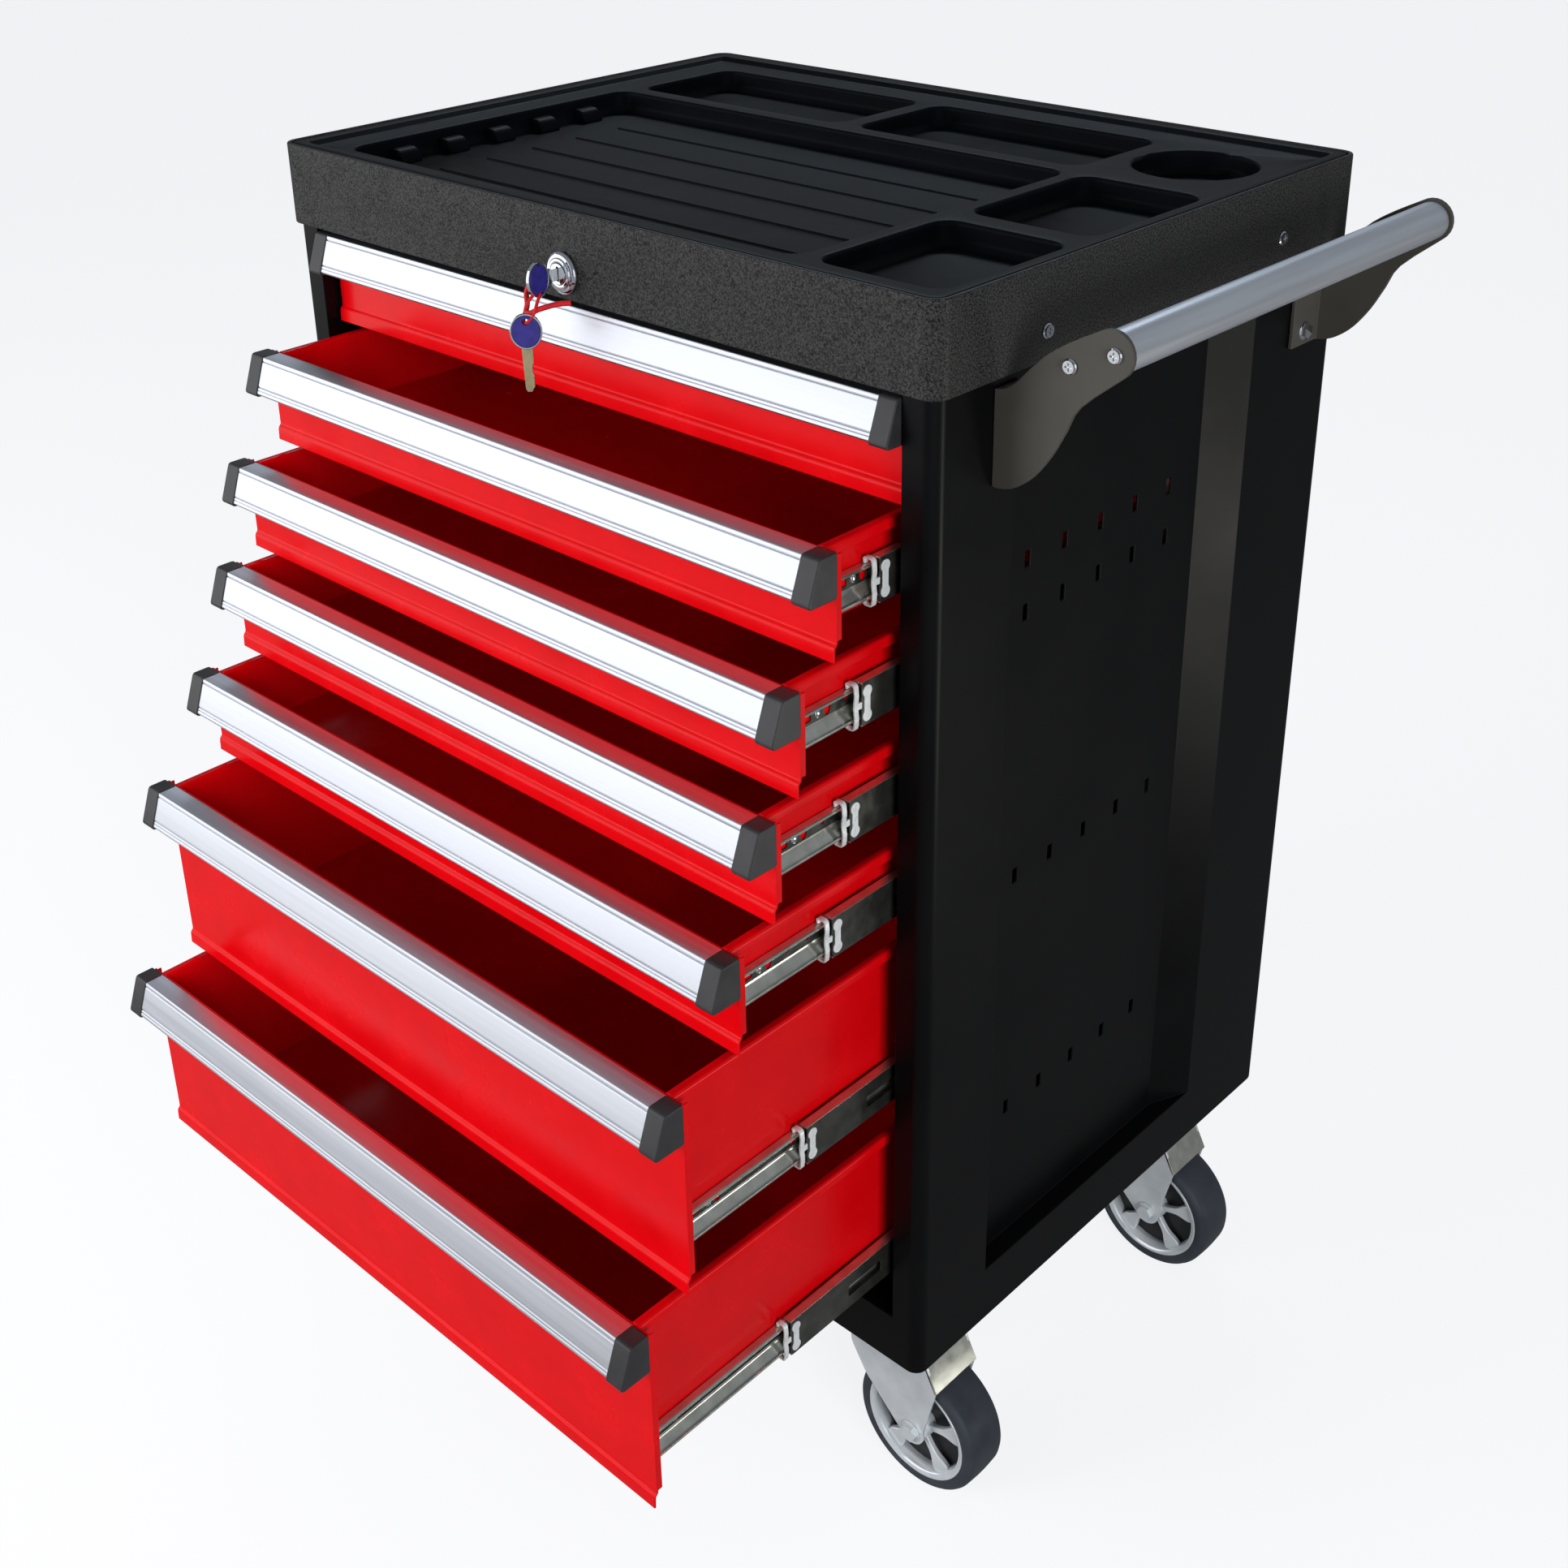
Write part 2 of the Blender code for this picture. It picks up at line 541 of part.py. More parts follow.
def drawer_tray(number, name):
    """A folded tray: open section, front panel, rear wall and the inner slide members at its sides."""
    y, top, deep = -OPEN[number], TOPS[number], DEEPS[number]
    floor = top - (DEEP_TRAY if deep else SHALLOW_TRAY)
    foot = top - (DEEP_PITCH if deep else SHALLOW_PITCH) + PANEL_GAP
    wall, rim, hem = TRAY_HALF - TRAY_SHEET, TRAY_HALF + 0.006, 0.006
    hem_sheet = 0.001
    section = both_sides(
        [
            (wall, floor + TRAY_SHEET),
            (wall, top),
            (rim, top),
            (rim, top - hem),
            (rim - hem_sheet, top - hem),
            (rim - hem_sheet, top - TRAY_SHEET),
            (TRAY_HALF, top - TRAY_SHEET),
            (TRAY_HALF, floor),
        ]
    )
    front, rear = PANEL_FRONT + y, TRAY_REAR + y
    tray = part(name, RED_PAINT, prism(section, "Y", front + LAP, rear), origin=(0, front, top))

    # The front panel's foot is folded forward into a lip
    back, panel_top, lip = front + SHEET, top - LAP, 0.0110
    profile = [
        (front, panel_top),
        (front, foot + lip),
        (front - 0.0022, foot + 0.0095),
        (front - 0.0026, foot),
        (front - 0.0011, foot),
        (front - 0.0007, foot + 0.0085),
        (back, foot + 0.0100),
        (back, panel_top),
    ]
    join(tray, prism(profile, "X", -PANEL_HALF, PANEL_HALF))

    z = slide_height(number)
    rear_half = wall + LAP
    rear_wall = ((-rear_half, rear_half), (rear - TRAY_SHEET, rear + GAP), (floor + GAP, top - REAR_WALL_DROP))
    fittings = [box(*rear_wall)]
    member_start, member_end = 0.0260 + y, 0.4120 + y
    for side in (-1, 1):
        member = channel(side, z, INNER_WEB, INNER_TIP, INNER_HALF_HEIGHT, INNER_SHEET)
        fittings.append(prism(member, "Y", member_start, member_end))
        return_x = sorted((side * (PANEL_HALF - TRAY_SHEET), side * (PANEL_HALF - 0.0001)))
        fittings.append(box(return_x, (back - LAP, back + 0.007), (foot + 0.0130, top - 0.0020)))
    join(tray, *fittings)


def drawer_handle(number, name):
    """An aluminium grip along the drawer's top edge, with a plastic cap on each end."""
    y, top = -OPEN[number], TOPS[number]
    back, end = PANEL_FRONT - GAP, HANDLE_LENGTH / 2
    skin, height = 0.0018, 0.0275
    grip = [
        (back, 0),
        (0.0020, 0),
        (-0.0071, -0.0254),
        (-0.0055, -0.0270),
        (-0.0012, -0.0270),
        (-0.0012, -0.0252),
        (-0.0046, -0.0252),
        (0.0034, -0.0020),
        (back - skin, -0.0020),
        (back - skin, -height),
        (back, -height),
    ]
    outline = [(a + y, top + b) for a, b in grip]
    made = part(name, ALUMINIUM, prism(outline, "X", -end, end), origin=(0, back + y, top))
    cap = [(back, 0.0006), (0.0018, 0.0006), (-HANDLE_REACH, -0.0262), (-0.0062, -0.0280), (back, -0.0285)]
    outline = [(a + y, top + b) for a, b in cap]
    for side in (-1, 1):
        across = sorted((side * (end - 0.001), side * (PANEL_HALF + 0.0017)))
        join(made, prism(outline, "X", *across))


def drawers():
    for number in range(len(TOPS)):
        drawer_tray(number, f"drawer_{number + 1}_tray")
        drawer_handle(number, f"drawer_{number + 1}_handle")
        runner(number, -1, f"drawer_{number + 1}_runner_left")
        runner(number, 1, f"drawer_{number + 1}_runner_right")


# Side handle
def side_handle():
    """A tube between two S-shaped sheet brackets, each with a flange against the cabinet's side."""
    root = BODY_HALF + GAP
    upper = [(root, -0.002), (0.3150, 0.0015), (0.3280, 0.0147), (0.3405, 0.0265), (0.3555, 0.0365)]
    nose = [(x, z - FIRST_TOP) for x, z in arc((TUBE_X, TUBE_Z), BRACKET_REACH, 115, -55, 12)]
    lower = [(0.3630, -0.0005), (0.3545, -0.0165), (0.3450, -0.0340), (0.3336, -0.0490), (0.3225, -0.0580)]
    foot = [(0.3127, -0.0620), (root, -BRACKET_FOOT)]
    curve = [*flowing([*upper, nose[0]], 3), *nose[1:-1], *flowing([nose[-1], *lower, *foot], 3)]
    plate = [(x, FIRST_TOP + z) for x, z in curve]
    flange_x, flange_z = (root, root + BRACKET_SHEET), (FIRST_TOP - BRACKET_FOOT, FIRST_TOP - 0.002)
    ends = {
        "front": (BRACKET_FRONT, (BRACKET_FRONT + 0.001, BRACKET_FRONT + 0.023)),
        "rear": (BRACKET_REAR - BRACKET_SHEET, (BRACKET_REAR - 0.036, BRACKET_REAR - 0.001)),
    }
    for name, (low, flange_y) in ends.items():
        across = (low, low + BRACKET_SHEET)
        bracket = part(f"side_handle_bracket_{name}", BLACK_PAINT, prism(plate, "Y", *across))
        join(bracket, box(flange_x, flange_y, flange_z))
    start, end = BRACKET_FRONT + BRACKET_SHEET + GAP, BRACKET_REAR - BRACKET_SHEET - GAP
    part("side_handle_tube", ALUMINIUM, rod("Y", (TUBE_X, 0, TUBE_Z), TUBE_RADIUS, start, end))


# Casters
RACEWAY = BODY_BOTTOM - GAP - 0.0120
CROWN = (0.1335, 0.1365)  # heights of the fork's top sheet
ARM_IN, ARM_OUT = TYRE_WIDTH / 2 + 0.0018, TYRE_WIDTH / 2 + 0.0043
RIM_SEAT = 0.0455


def caster_plate(name, x, y):
    """The fixed plate, with the raceway that the fork turns on."""
    top, sheet = BODY_BOTTOM - GAP, 0.003
    half_x, half_y = 0.045, 0.036
    flat = box((x - half_x, x + half_x), (y - half_y, y + half_y), (top - sheet, top))
    plate = part(f"{name}_plate", ZINC, flat, origin=(x, y, top))
    inside = top - sheet + 0.001
    cup = [(0, RACEWAY), (0.026, RACEWAY), (0.030, RACEWAY + 0.005), (0.030, inside), (0, inside)]
    join(plate, turned(cup, "Z", (x, y, 0), 20))


def caster_fork(name, x, y):
    """Two arms under a top sheet that is bent down over the tread, with the axle and its bolt heads."""
    hood = [
        (-0.030, CROWN[0]),
        (0.040, CROWN[0]),
        (0.052, 0.1085),
        (0.0545, 0.1095),
        (0.042, CROWN[1]),
        (-0.032, CROWN[1]),
    ]
    top = prism([(x + a, b) for a, b in hood], "Y", y - ARM_OUT, y + ARM_OUT)
    fork = part(f"{name}_fork", CHROME, top, origin=(x, y, BODY_BOTTOM - GAP))
    arm = [
        (-0.0315, CROWN[1] - LAP),
        (-0.0300, 0.1080),
        (-0.0150, 0.0840),
        *arc((CASTER_TRAIL, WHEEL_RADIUS), 0.0120, 205, 380, 7),
        (0.0530, 0.1100),
        (0.0415, CROWN[1] - LAP),
    ]
    outline = [(x + a, b) for a, b in arm]
    join(
        fork,
        prism(outline, "Y", y + ARM_IN, y + ARM_OUT - 0.0002),
        prism(outline, "Y", y - ARM_OUT + 0.0002, y - ARM_IN),
    )
    head = [(0, CROWN[1] - 0.001), (0.031, CROWN[1] - 0.001), (0.027, RACEWAY - GAP), (0, RACEWAY - GAP)]
    join(fork, turned(head, "Z", (x, y, 0), 20))
    reach, shank = ARM_OUT + BOLT_HEAD, ARM_OUT - LAP
    bolt = [
        (0, -reach),
        (BOLT_RADIUS, -reach),
        (BOLT_RADIUS, -shank),
        (AXLE_RADIUS, -shank),
        (AXLE_RADIUS, shank),
        (BOLT_RADIUS, shank),
        (BOLT_RADIUS, reach),
        (0, reach),
    ]
    join(fork, turned(bolt, "Y", (x + CASTER_TRAIL, y, WHEEL_RADIUS), 12))


def caster_wheel(name, x, y):
    wheel = (x + CASTER_TRAIL, y, WHEEL_RADIUS)
    half, shoulder, crown = TYRE_WIDTH / 2, 0.0025, 0.0080
    tread = [
        (RIM_SEAT + GAP, -half + 0.0010),
        (0.0500, -half),
        (0.0540, -half + shoulder),
        (WHEEL_RADIUS, -half + crown),
        (WHEEL_RADIUS, half - crown),
        (0.0540, half - shoulder),
        (0.0500, half),
        (RIM_SEAT + GAP, half - 0.0010),
    ]
    part(f"{name}_tyre", TYRE_RUBBER, turned(tread, "Y", wheel, 28), origin=wheel)

    bore, hub, lip = AXLE_RADIUS + GAP, half + 0.0008, half - LAP
    rim = [
        (bore, -hub),
        (0.0110, -hub),
        (0.0130, -0.0100),
        (0.0400, -0.0120),
        (0.0430, -lip),
        (RIM_SEAT, -lip),
        (RIM_SEAT, lip),
        (0.0430, lip),
        (0.0400, 0.0120),
        (0.0130, 0.0100),
        (0.0110, hub),
        (bore, hub),
    ]
    part(f"{name}_rim", CHROME, turned(rim, "Y", wheel, 20), origin=wheel)


def casters():
    for row, y in (("front", CASTER_Y), ("rear", FRAME_DEPTH - CASTER_Y)):
        for side, x in (("left", -CASTER_X), ("right", CASTER_X)):
            name = f"caster_{row}_{side}"
            caster_plate(name, x, y)
            caster_fork(name, x, y)
            caster_wheel(name, x, y)


cabinet_shell()
back_panel()
top_frame()
worktop_tray()
lock()
lock_bar()
slide_carrier(-1, "slide_carrier_left")
slide_carrier(1, "slide_carrier_right")
drawers()
side_handle()
casters()
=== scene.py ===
# %% [markdown]
# # A rolling tool chest
#
# This notebook dresses the measured model of a workshop roller cabinet: a black steel body on four casters,
# seven red drawers on ball slides, a moulded worktop, a cam lock and a push handle. The measured model
# gives every place and size. Here each part gets the bends, rolled edges, screws and finishes of the real
# one.

# %% Load the measured model
import json
from math import cos, hypot, pi, radians, sin

import bmesh
import bpy
from mathutils import Matrix, Vector


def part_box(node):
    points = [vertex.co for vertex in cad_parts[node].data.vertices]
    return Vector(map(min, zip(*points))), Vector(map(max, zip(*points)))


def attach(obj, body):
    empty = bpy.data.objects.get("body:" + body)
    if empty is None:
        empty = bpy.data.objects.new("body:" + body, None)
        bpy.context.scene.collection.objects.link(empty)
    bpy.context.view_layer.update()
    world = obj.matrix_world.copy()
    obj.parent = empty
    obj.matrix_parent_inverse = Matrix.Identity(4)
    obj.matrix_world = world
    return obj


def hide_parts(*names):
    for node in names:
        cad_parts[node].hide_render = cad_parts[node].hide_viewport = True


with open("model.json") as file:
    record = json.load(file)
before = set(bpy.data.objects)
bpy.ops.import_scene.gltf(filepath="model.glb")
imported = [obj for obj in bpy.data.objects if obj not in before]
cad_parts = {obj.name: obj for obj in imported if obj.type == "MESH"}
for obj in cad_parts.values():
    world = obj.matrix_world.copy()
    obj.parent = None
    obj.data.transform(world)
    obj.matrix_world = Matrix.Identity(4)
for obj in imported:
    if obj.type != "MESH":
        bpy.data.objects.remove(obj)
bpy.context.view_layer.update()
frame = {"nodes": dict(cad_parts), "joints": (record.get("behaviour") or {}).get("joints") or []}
joints = {joint["name"]: joint for joint in frame["joints"]}

# %% [markdown]
# Every piece is drawn in the cabinet's own frame: x = 0 is the middle of its width, y = 0 the front face of
# the top frame and z = 0 the floor. That frame is found again from the top frame's box, so nothing has to
# be typed in twice. The drawers' openings are the lower limits of their slides: a drawer that stands 66 mm
# open can be pushed back by 66 mm.

# %% The cabinet's frame and its main sizes
frame_low, frame_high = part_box("top_frame")
CABINET = Vector(((frame_low.x + frame_high.x) / 2, frame_low.y, 0))
FRAME_HALF, FRAME_DEPTH = (frame_high.x - frame_low.x) / 2, frame_high.y - frame_low.y
FRAME_BOTTOM, FRAME_TOP = frame_low.z, frame_high.z
NUMBERS = range(1, 8)
OPEN = {n: -joints[f"drawer_{n}_slide"]["range_m"][0] for n in NUMBERS}
TOPS = {n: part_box(f"drawer_{n}_tray")[1].z for n in NUMBERS}
FEET = {n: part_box(f"drawer_{n}_tray")[0].z for n in NUMBERS}
DEEP = {n: TOPS[n] - FEET[n] > 0.1 for n in NUMBERS}
print("drawers stand open by", [round(OPEN[n] * 1000) for n in NUMBERS], "mm")


# %% [markdown]
# ## Finishes
#
# A painted, plated or moulded surface is never one flat colour. Up close it has a fine grain, over a hand's
# breadth it drifts a little in tone and gloss. One node group makes both from noise, and puts out a soft
# mask, a fine mask and a bumped normal. Each finish places that group with its own scales.

# %% The grain group
def new_tree(kind, name, inputs, outputs):
    """A node tree and its two ends, with sockets from {label: type}."""
    tree = bpy.data.node_groups.new(name, kind)
    for way, sockets in (("INPUT", inputs), ("OUTPUT", outputs)):
        for label, holds in sockets.items():
            tree.interface.new_socket(label, in_out=way, socket_type=f"NodeSocket{holds}")
    return tree, tree.nodes.new("NodeGroupInput"), tree.nodes.new("NodeGroupOutput")


def wire(tree, *pairs):
    for source, target in pairs:
        tree.links.new(source, target)


def maths(tree, operation, first, second):
    node = tree.nodes.new("ShaderNodeMath")
    node.operation = operation
    for socket, value in zip(node.inputs, (first, second)):
        if isinstance(value, bpy.types.NodeSocket):
            tree.links.new(value, socket)
        else:
            socket.default_value = value
    return node.outputs[0]


def noise(tree, vector, scale, detail):
    node = tree.nodes.new("ShaderNodeTexNoise")
    node.inputs["Detail"].default_value = detail
    wire(tree, (vector, node.inputs["Vector"]), (scale, node.inputs["Scale"]))
    return node.outputs[0]


GRAIN_INPUTS = ("Grain Scale", "Grain Depth", "Drift Scale", "Drift Depth")


def build_grain():
    inputs = {"Vector": "Vector", **dict.fromkeys(GRAIN_INPUTS, "Float")}
    outputs = {"Drift": "Float", "Grain": "Float", "Normal": "Vector"}
    group, given, result = new_tree("ShaderNodeTree", "surface_grain", inputs, outputs)
    fine = noise(group, given.outputs["Vector"], given.outputs["Grain Scale"], 2.0)
    broad = noise(group, given.outputs["Vector"], given.outputs["Drift Scale"], 3.0)
    small = maths(group, "MULTIPLY", fine, given.outputs["Grain Depth"])
    large = maths(group, "MULTIPLY", broad, given.outputs["Drift Depth"])
    bump = group.nodes.new("ShaderNodeBump")
    bump.inputs["Distance"].default_value = 1.0
    wire(
        group,
        (maths(group, "ADD", small, large), bump.inputs["Height"]),
        (broad, result.inputs["Drift"]),
        (fine, result.inputs["Grain"]),
        (bump.outputs["Normal"], result.inputs["Normal"]),
    )
    return group


SURFACE_GRAIN = build_grain()
print("grain group with", len(SURFACE_GRAIN.nodes), "nodes")

# %% [markdown]
# The shader itself stays in the material. The drift mask runs the base colour from a dark tone to a light
# one and the roughness between two values, because gloss varies before colour does. A stretch along one
# axis turns round grain into the long drawing lines of an extrusion. A contrast above 1 sharpens the masks
# into separate specks, which is what the top frame's textured paint looks like.

# %% A finish from two tones
def ranged(tree, value, low, high, contrast):
    """A mask round 0.5 mapped to low..high; more contrast pushes it to the ends."""
    node = tree.nodes.new("ShaderNodeMapRange")
    tree.links.new(value, node.inputs["Value"])
    spread = 0.25 / contrast
    ends = {"From Min": 0.5 - spread, "From Max": 0.5 + spread, "To Min": low, "To Max": high}
    for label, number in ends.items():
        node.inputs[label].default_value = number
    return node.outputs["Result"]


def finish(name, dark, light, rough, metallic=0.0, grain=(1500, 1e-5), drift=(20, 1e-4), by="Drift", **extra):
    made = bpy.data.materials.new(name)
    made.use_nodes = True
    tree = made.node_tree
    shader = tree.nodes["Principled BSDF"]
    shader.inputs["Metallic"].default_value = metallic
    stretch, contrast = extra.pop("stretch", (1, 1, 1)), extra.pop("contrast", 1.0)
    for label, value in extra.items():
        shader.inputs[label.replace("_", " ").title().replace("Ior", "IOR")].default_value = value
    place = tree.nodes.new("ShaderNodeTexCoord")
    turn = tree.nodes.new("ShaderNodeMapping")
    turn.inputs["Scale"].default_value = stretch
    group = tree.nodes.new("ShaderNodeGroup")
    group.node_tree = SURFACE_GRAIN
    for label, value in zip(GRAIN_INPUTS, (*grain, *drift)):
        group.inputs[label].default_value = value
    tones = tree.nodes.new("ShaderNodeMix")
    tones.data_type = "RGBA"
    tones.inputs["A"].default_value = (*dark, 1)
    tones.inputs["B"].default_value = (*light, 1)
    wire(
        tree,
        (place.outputs["Object"], turn.inputs["Vector"]),
        (turn.outputs["Vector"], group.inputs["Vector"]),
        (ranged(tree, group.outputs[by], 0, 1, contrast), tones.inputs["Factor"]),
        (tones.outputs["Result"], shader.inputs["Base Color"]),
        (ranged(tree, group.outputs["Drift"], *rough, 1.0), shader.inputs["Roughness"]),
        (group.outputs["Normal"], shader.inputs["Normal"]),
    )
    return made


# The brackets are black paint; this grey tone is a painted sheen, set to the light that their faces catch.
BRACKET_PAINTED_SHEEN_COAT = finish(
    "black_bracket_painted_grey_sheen", (0.060, 0.057, 0.049), (0.076, 0.072, 0.063), (0.40, 0.50),
    grain=(900, 8e-6), drift=(20, 3e-5), specular_ior_level=0.25,
)
BLACK_COAT = finish(
    "black_powder_coat", (0.0016, 0.0018, 0.0022), (0.0032, 0.0034, 0.0038), (0.32, 0.40),
    grain=(900, 6e-6), drift=(14, 3e-5), specular_ior_level=0.11,
)
TEXTURED_COAT = finish(
    "textured_coat", (0.0022, 0.0022, 0.0022), (0.050, 0.050, 0.049), (0.42, 0.58),
    grain=(880, 9e-5), drift=(60, 2e-5), by="Grain", contrast=1.5, specular_ior_level=0.20,
)
RED_COAT = finish(
    "red_gloss_coat", (0.620, 0.0010, 0.0032), (0.720, 0.0018, 0.0050), (0.20, 0.30),
    grain=(500, 3e-6), drift=(26, 4e-5), specular_ior_level=0.16, coat_weight=0.03, coat_roughness=0.05,
)
GRIP_METAL = finish(
    "satin_aluminium", (0.74, 0.77, 0.84), (0.86, 0.88, 0.94), (0.34, 0.44), 1.0,
    grain=(2600, 2e-6), drift=(260, 1e-6), stretch=(0.02, 1, 1),
)
TUBE_METAL = finish(
    "drawn_aluminium_tube", (0.62, 0.66, 0.72), (0.76, 0.80, 0.86), (0.30, 0.40), 0.8,
    grain=(2200, 3e-6), drift=(200, 1e-6), stretch=(1, 0.03, 1),
)
ZINC_PLATE = finish(
    "zinc_plate", (0.52, 0.53, 0.47), (0.76, 0.77, 0.70), (0.13, 0.24), 0.86,
    grain=(700, 4e-6), drift=(90, 1e-5),
)
# The slide webs are the zinc plate painted darker: painted shade for the shade between their bent edges.
SLIDE_WEB_PAINTED_SHADE = finish(
    "zinc_web_painted_shade", (0.085, 0.088, 0.078), (0.150, 0.154, 0.138), (0.18, 0.30), 0.86,
    grain=(700, 4e-6), drift=(90, 1e-5),
)
BRIGHT_STEEL = finish(
    "bright_plated_steel", (0.66, 0.71, 0.75), (0.84, 0.89, 0.93), (0.10, 0.22), 0.46,
    grain=(700, 2e-6), drift=(50, 2e-5),
)
CHROME_PLATE = finish(
    "chrome_plate", (0.70, 0.73, 0.77), (0.84, 0.86, 0.89), (0.04, 0.12), 1.0,
    grain=(600, 1e-6), drift=(60, 2e-5),
)
CAP_PLASTIC = finish(
    "cap_plastic", (0.022, 0.022, 0.024), (0.036, 0.036, 0.038), (0.30, 0.40),
    grain=(2400, 1.2e-5), drift=(60, 3e-5), specular_ior_level=0.40,
)
TOP_PLASTIC = finish(
    "worktop_plastic", (0.0016, 0.0022, 0.0034), (0.0032, 0.0042, 0.0062), (0.32, 0.44),
    grain=(1300, 2.2e-5), drift=(25, 8e-5), specular_ior_level=0.045,
)
TYRE_RUBBER = finish(
    "tyre_rubber", (0.026, 0.031, 0.040), (0.042, 0.050, 0.062), (0.32, 0.46),
    grain=(900, 1.5e-5), drift=(40, 6e-5), specular_ior_level=0.40,
)
DARK_WEB = finish(
    "dark_wheel_web", (0.008, 0.008, 0.009), (0.016, 0.016, 0.018), (0.4, 0.6),
    grain=(900, 1e-5), drift=(50, 3e-5),
)
KEY_BLUE = finish(
    "blue_key_plastic", (0.020, 0.016, 0.150), (0.034, 0.028, 0.230), (0.22, 0.34),
    grain=(1500, 4e-6), drift=(150, 1e-5),
)
KEY_BRASS = finish(
    "brass_key_blade", (0.56, 0.46, 0.26), (0.74, 0.63, 0.38), (0.22, 0.34), 1.0,
    grain=(1200, 4e-6), drift=(200, 5e-6),
)
TIE_RED = finish(
    "red_key_tie", (0.45, 0.006, 0.010), (0.62, 0.012, 0.016), (0.35, 0.5),
    grain=(1800, 1e-5), drift=(200, 2e-5),
)
CLIP_WHITE = finish(
    "bright_slide_clip", (0.74, 0.77, 0.77), (0.86, 0.88, 0.88), (0.22, 0.36), 0.25,
    grain=(900, 6e-6), drift=(150, 1e-5),
)
print(len(bpy.data.materials), "finishes")

# %% [markdown]
# ## Shape helpers
#
# Most of this object is sheet metal and extrusion, so nearly every piece is an outline drawn across an axis
# and pulled along it, or a profile turned round an axis. Each helper below adds one closed shape to a mesh.
# A Bevel modifier then rounds the edges, because real edges always catch a thin line of light.

# %% Outlines and solids
AXES = {
    "X": lambda a, b, along: Vector((along, a, b)),
    "Y": lambda a, b, along: Vector((a, along, b)),
    "Z": lambda a, b, along: Vector((a, b, along)),
}


def arc(centre, radius, start, end, steps):
    turns = [radians(start + (end - start) * i / steps) for i in range(steps + 1)]
    return [(centre[0] + radius * cos(t), centre[1] + radius * sin(t)) for t in turns]


def rounded(x, y, radius, steps=6):
    """A rectangle's outline with round corners, from two (low, high) pairs."""
    outline = arc((x[1] - radius, y[1] - radius), radius, 0, 90, steps)
    outline += arc((x[0] + radius, y[1] - radius), radius, 90, 180, steps)
    outline += arc((x[0] + radius, y[0] + radius), radius, 180, 270, steps)
    return outline + arc((x[1] - radius, y[0] + radius), radius, 270, 360, steps)


def pulled(outline, axis, low, high):
    """An outline pulled along an axis."""
    place = AXES[axis]

    def add(work):
        base = work.faces.new([work.verts.new(place(a, b, low)) for a, b in outline])
        raised = bmesh.ops.extrude_face_region(work, geom=[base])["geom"]
        corners = [item for item in raised if isinstance(item, bmesh.types.BMVert)]
        bmesh.ops.translate(work, verts=corners, vec=place(0, 0, high - low))

    return add


def eased(points, radius, closed=True, steps=4):
    """Rounds each corner of an outline, or of an open path, by no more than its edges allow."""
    found = []
    last = len(points) - 1
    for i, (x, y) in enumerate(points):
        if not closed and i in (0, last):
            found.append((x, y))
            continue
        ends = []
        for ax, ay in (points[i - 1], points[(i + 1) % len(points)]):
            reach = hypot(ax - x, ay - y)
            share = min(radius / reach, 0.45)
            ends.append((x + (ax - x) * share, y + (ay - y) * share))
        (sx, sy), (ex, ey) = ends
        for k in range(steps + 1):
            t = k / steps
            a, b, c = (1 - t) ** 2, 2 * t * (1 - t), t**2
            found.append((a * sx + b * x + c * ex, a * sy + b * y + c * ey))
    return found


def folded(path, thickness):
    """The section of a bent sheet, from the line along its middle."""
    normals = []
    for (ax, ay), (bx, by) in zip(path, path[1:]):
        long = hypot(bx - ax, by - ay)
        normals.append(((ay - by) / long, (bx - ax) / long))
    outer, inner = [], []
    for i, (x, y) in enumerate(path):
        (ax, ay), (bx, by) = normals[max(i - 1, 0)], normals[min(i, len(normals) - 1)]
        reach = thickness / (1 + ax * bx + ay * by)
        dx, dy = (ax + bx) * reach / 2, (ay + by) * reach / 2
        outer.append((x + dx, y + dy))
        inner.append((x - dx, y - dy))
    return outer + inner[::-1]


def bent(line, bend, thickness, axis, low, high):
    """A sheet bent along a line, pulled along an axis."""
    return pulled(folded(eased(line, bend, closed=False), thickness), axis, low, high)


def pierced(outline, holes, axis, low, high):
    """A flat plate with holes, drawn across an axis."""
    place = AXES[axis]

    def add(work):
        edges = []
        for loop in (outline, *holes):
            points = [work.verts.new(place(a, b, low)) for a, b in loop]
            edges += [work.edges.new(pair) for pair in zip(points, points[1:] + points[:1])]
        filled = bmesh.ops.triangle_fill(work, edges=edges, use_beauty=True)["geom"]
        flat = [item for item in filled if isinstance(item, bmesh.types.BMFace)]
        raised = bmesh.ops.extrude_face_region(work, geom=flat)["geom"]
        corners = [item for item in raised if isinstance(item, bmesh.types.BMVert)]
        bmesh.ops.translate(work, verts=corners, vec=place(0, 0, high - low))

    return add


def oval(centre, half_width, half_height, steps=32):
    turns = [2 * pi * i / steps for i in range(steps)]
    return [(centre[0] + half_width * cos(t), centre[1] + half_height * sin(t)) for t in turns]


def block(x, y, z):
    return pulled([(x[0], y[0]), (x[1], y[0]), (x[1], y[1]), (x[0], y[1])], "Z", *z)


def turned(profile, axis, centre, steps=64):
    """A profile of (radius, height) pairs turned round an axis, closed or starting and ending on it."""
    place = AXES[axis]
    middle = Vector(centre)

    def add(work):
        before = set(work.verts)
        points = [work.verts.new(middle + place(radius, 0, height)) for radius, height in profile]
        following = points[1:] if profile[0][0] == 0 else points[1:] + points[:1]
        lines = [work.edges.new(pair) for pair in zip(points, following)]
        round_axis = {"cent": middle, "axis": place(0, 0, 1), "angle": 2 * pi, "steps": steps}
        bmesh.ops.spin(work, geom=points + lines, use_merge=True, **round_axis)
        added = [point for point in work.verts if point not in before]
        bmesh.ops.remove_doubles(work, verts=added, dist=1e-6)

    return add


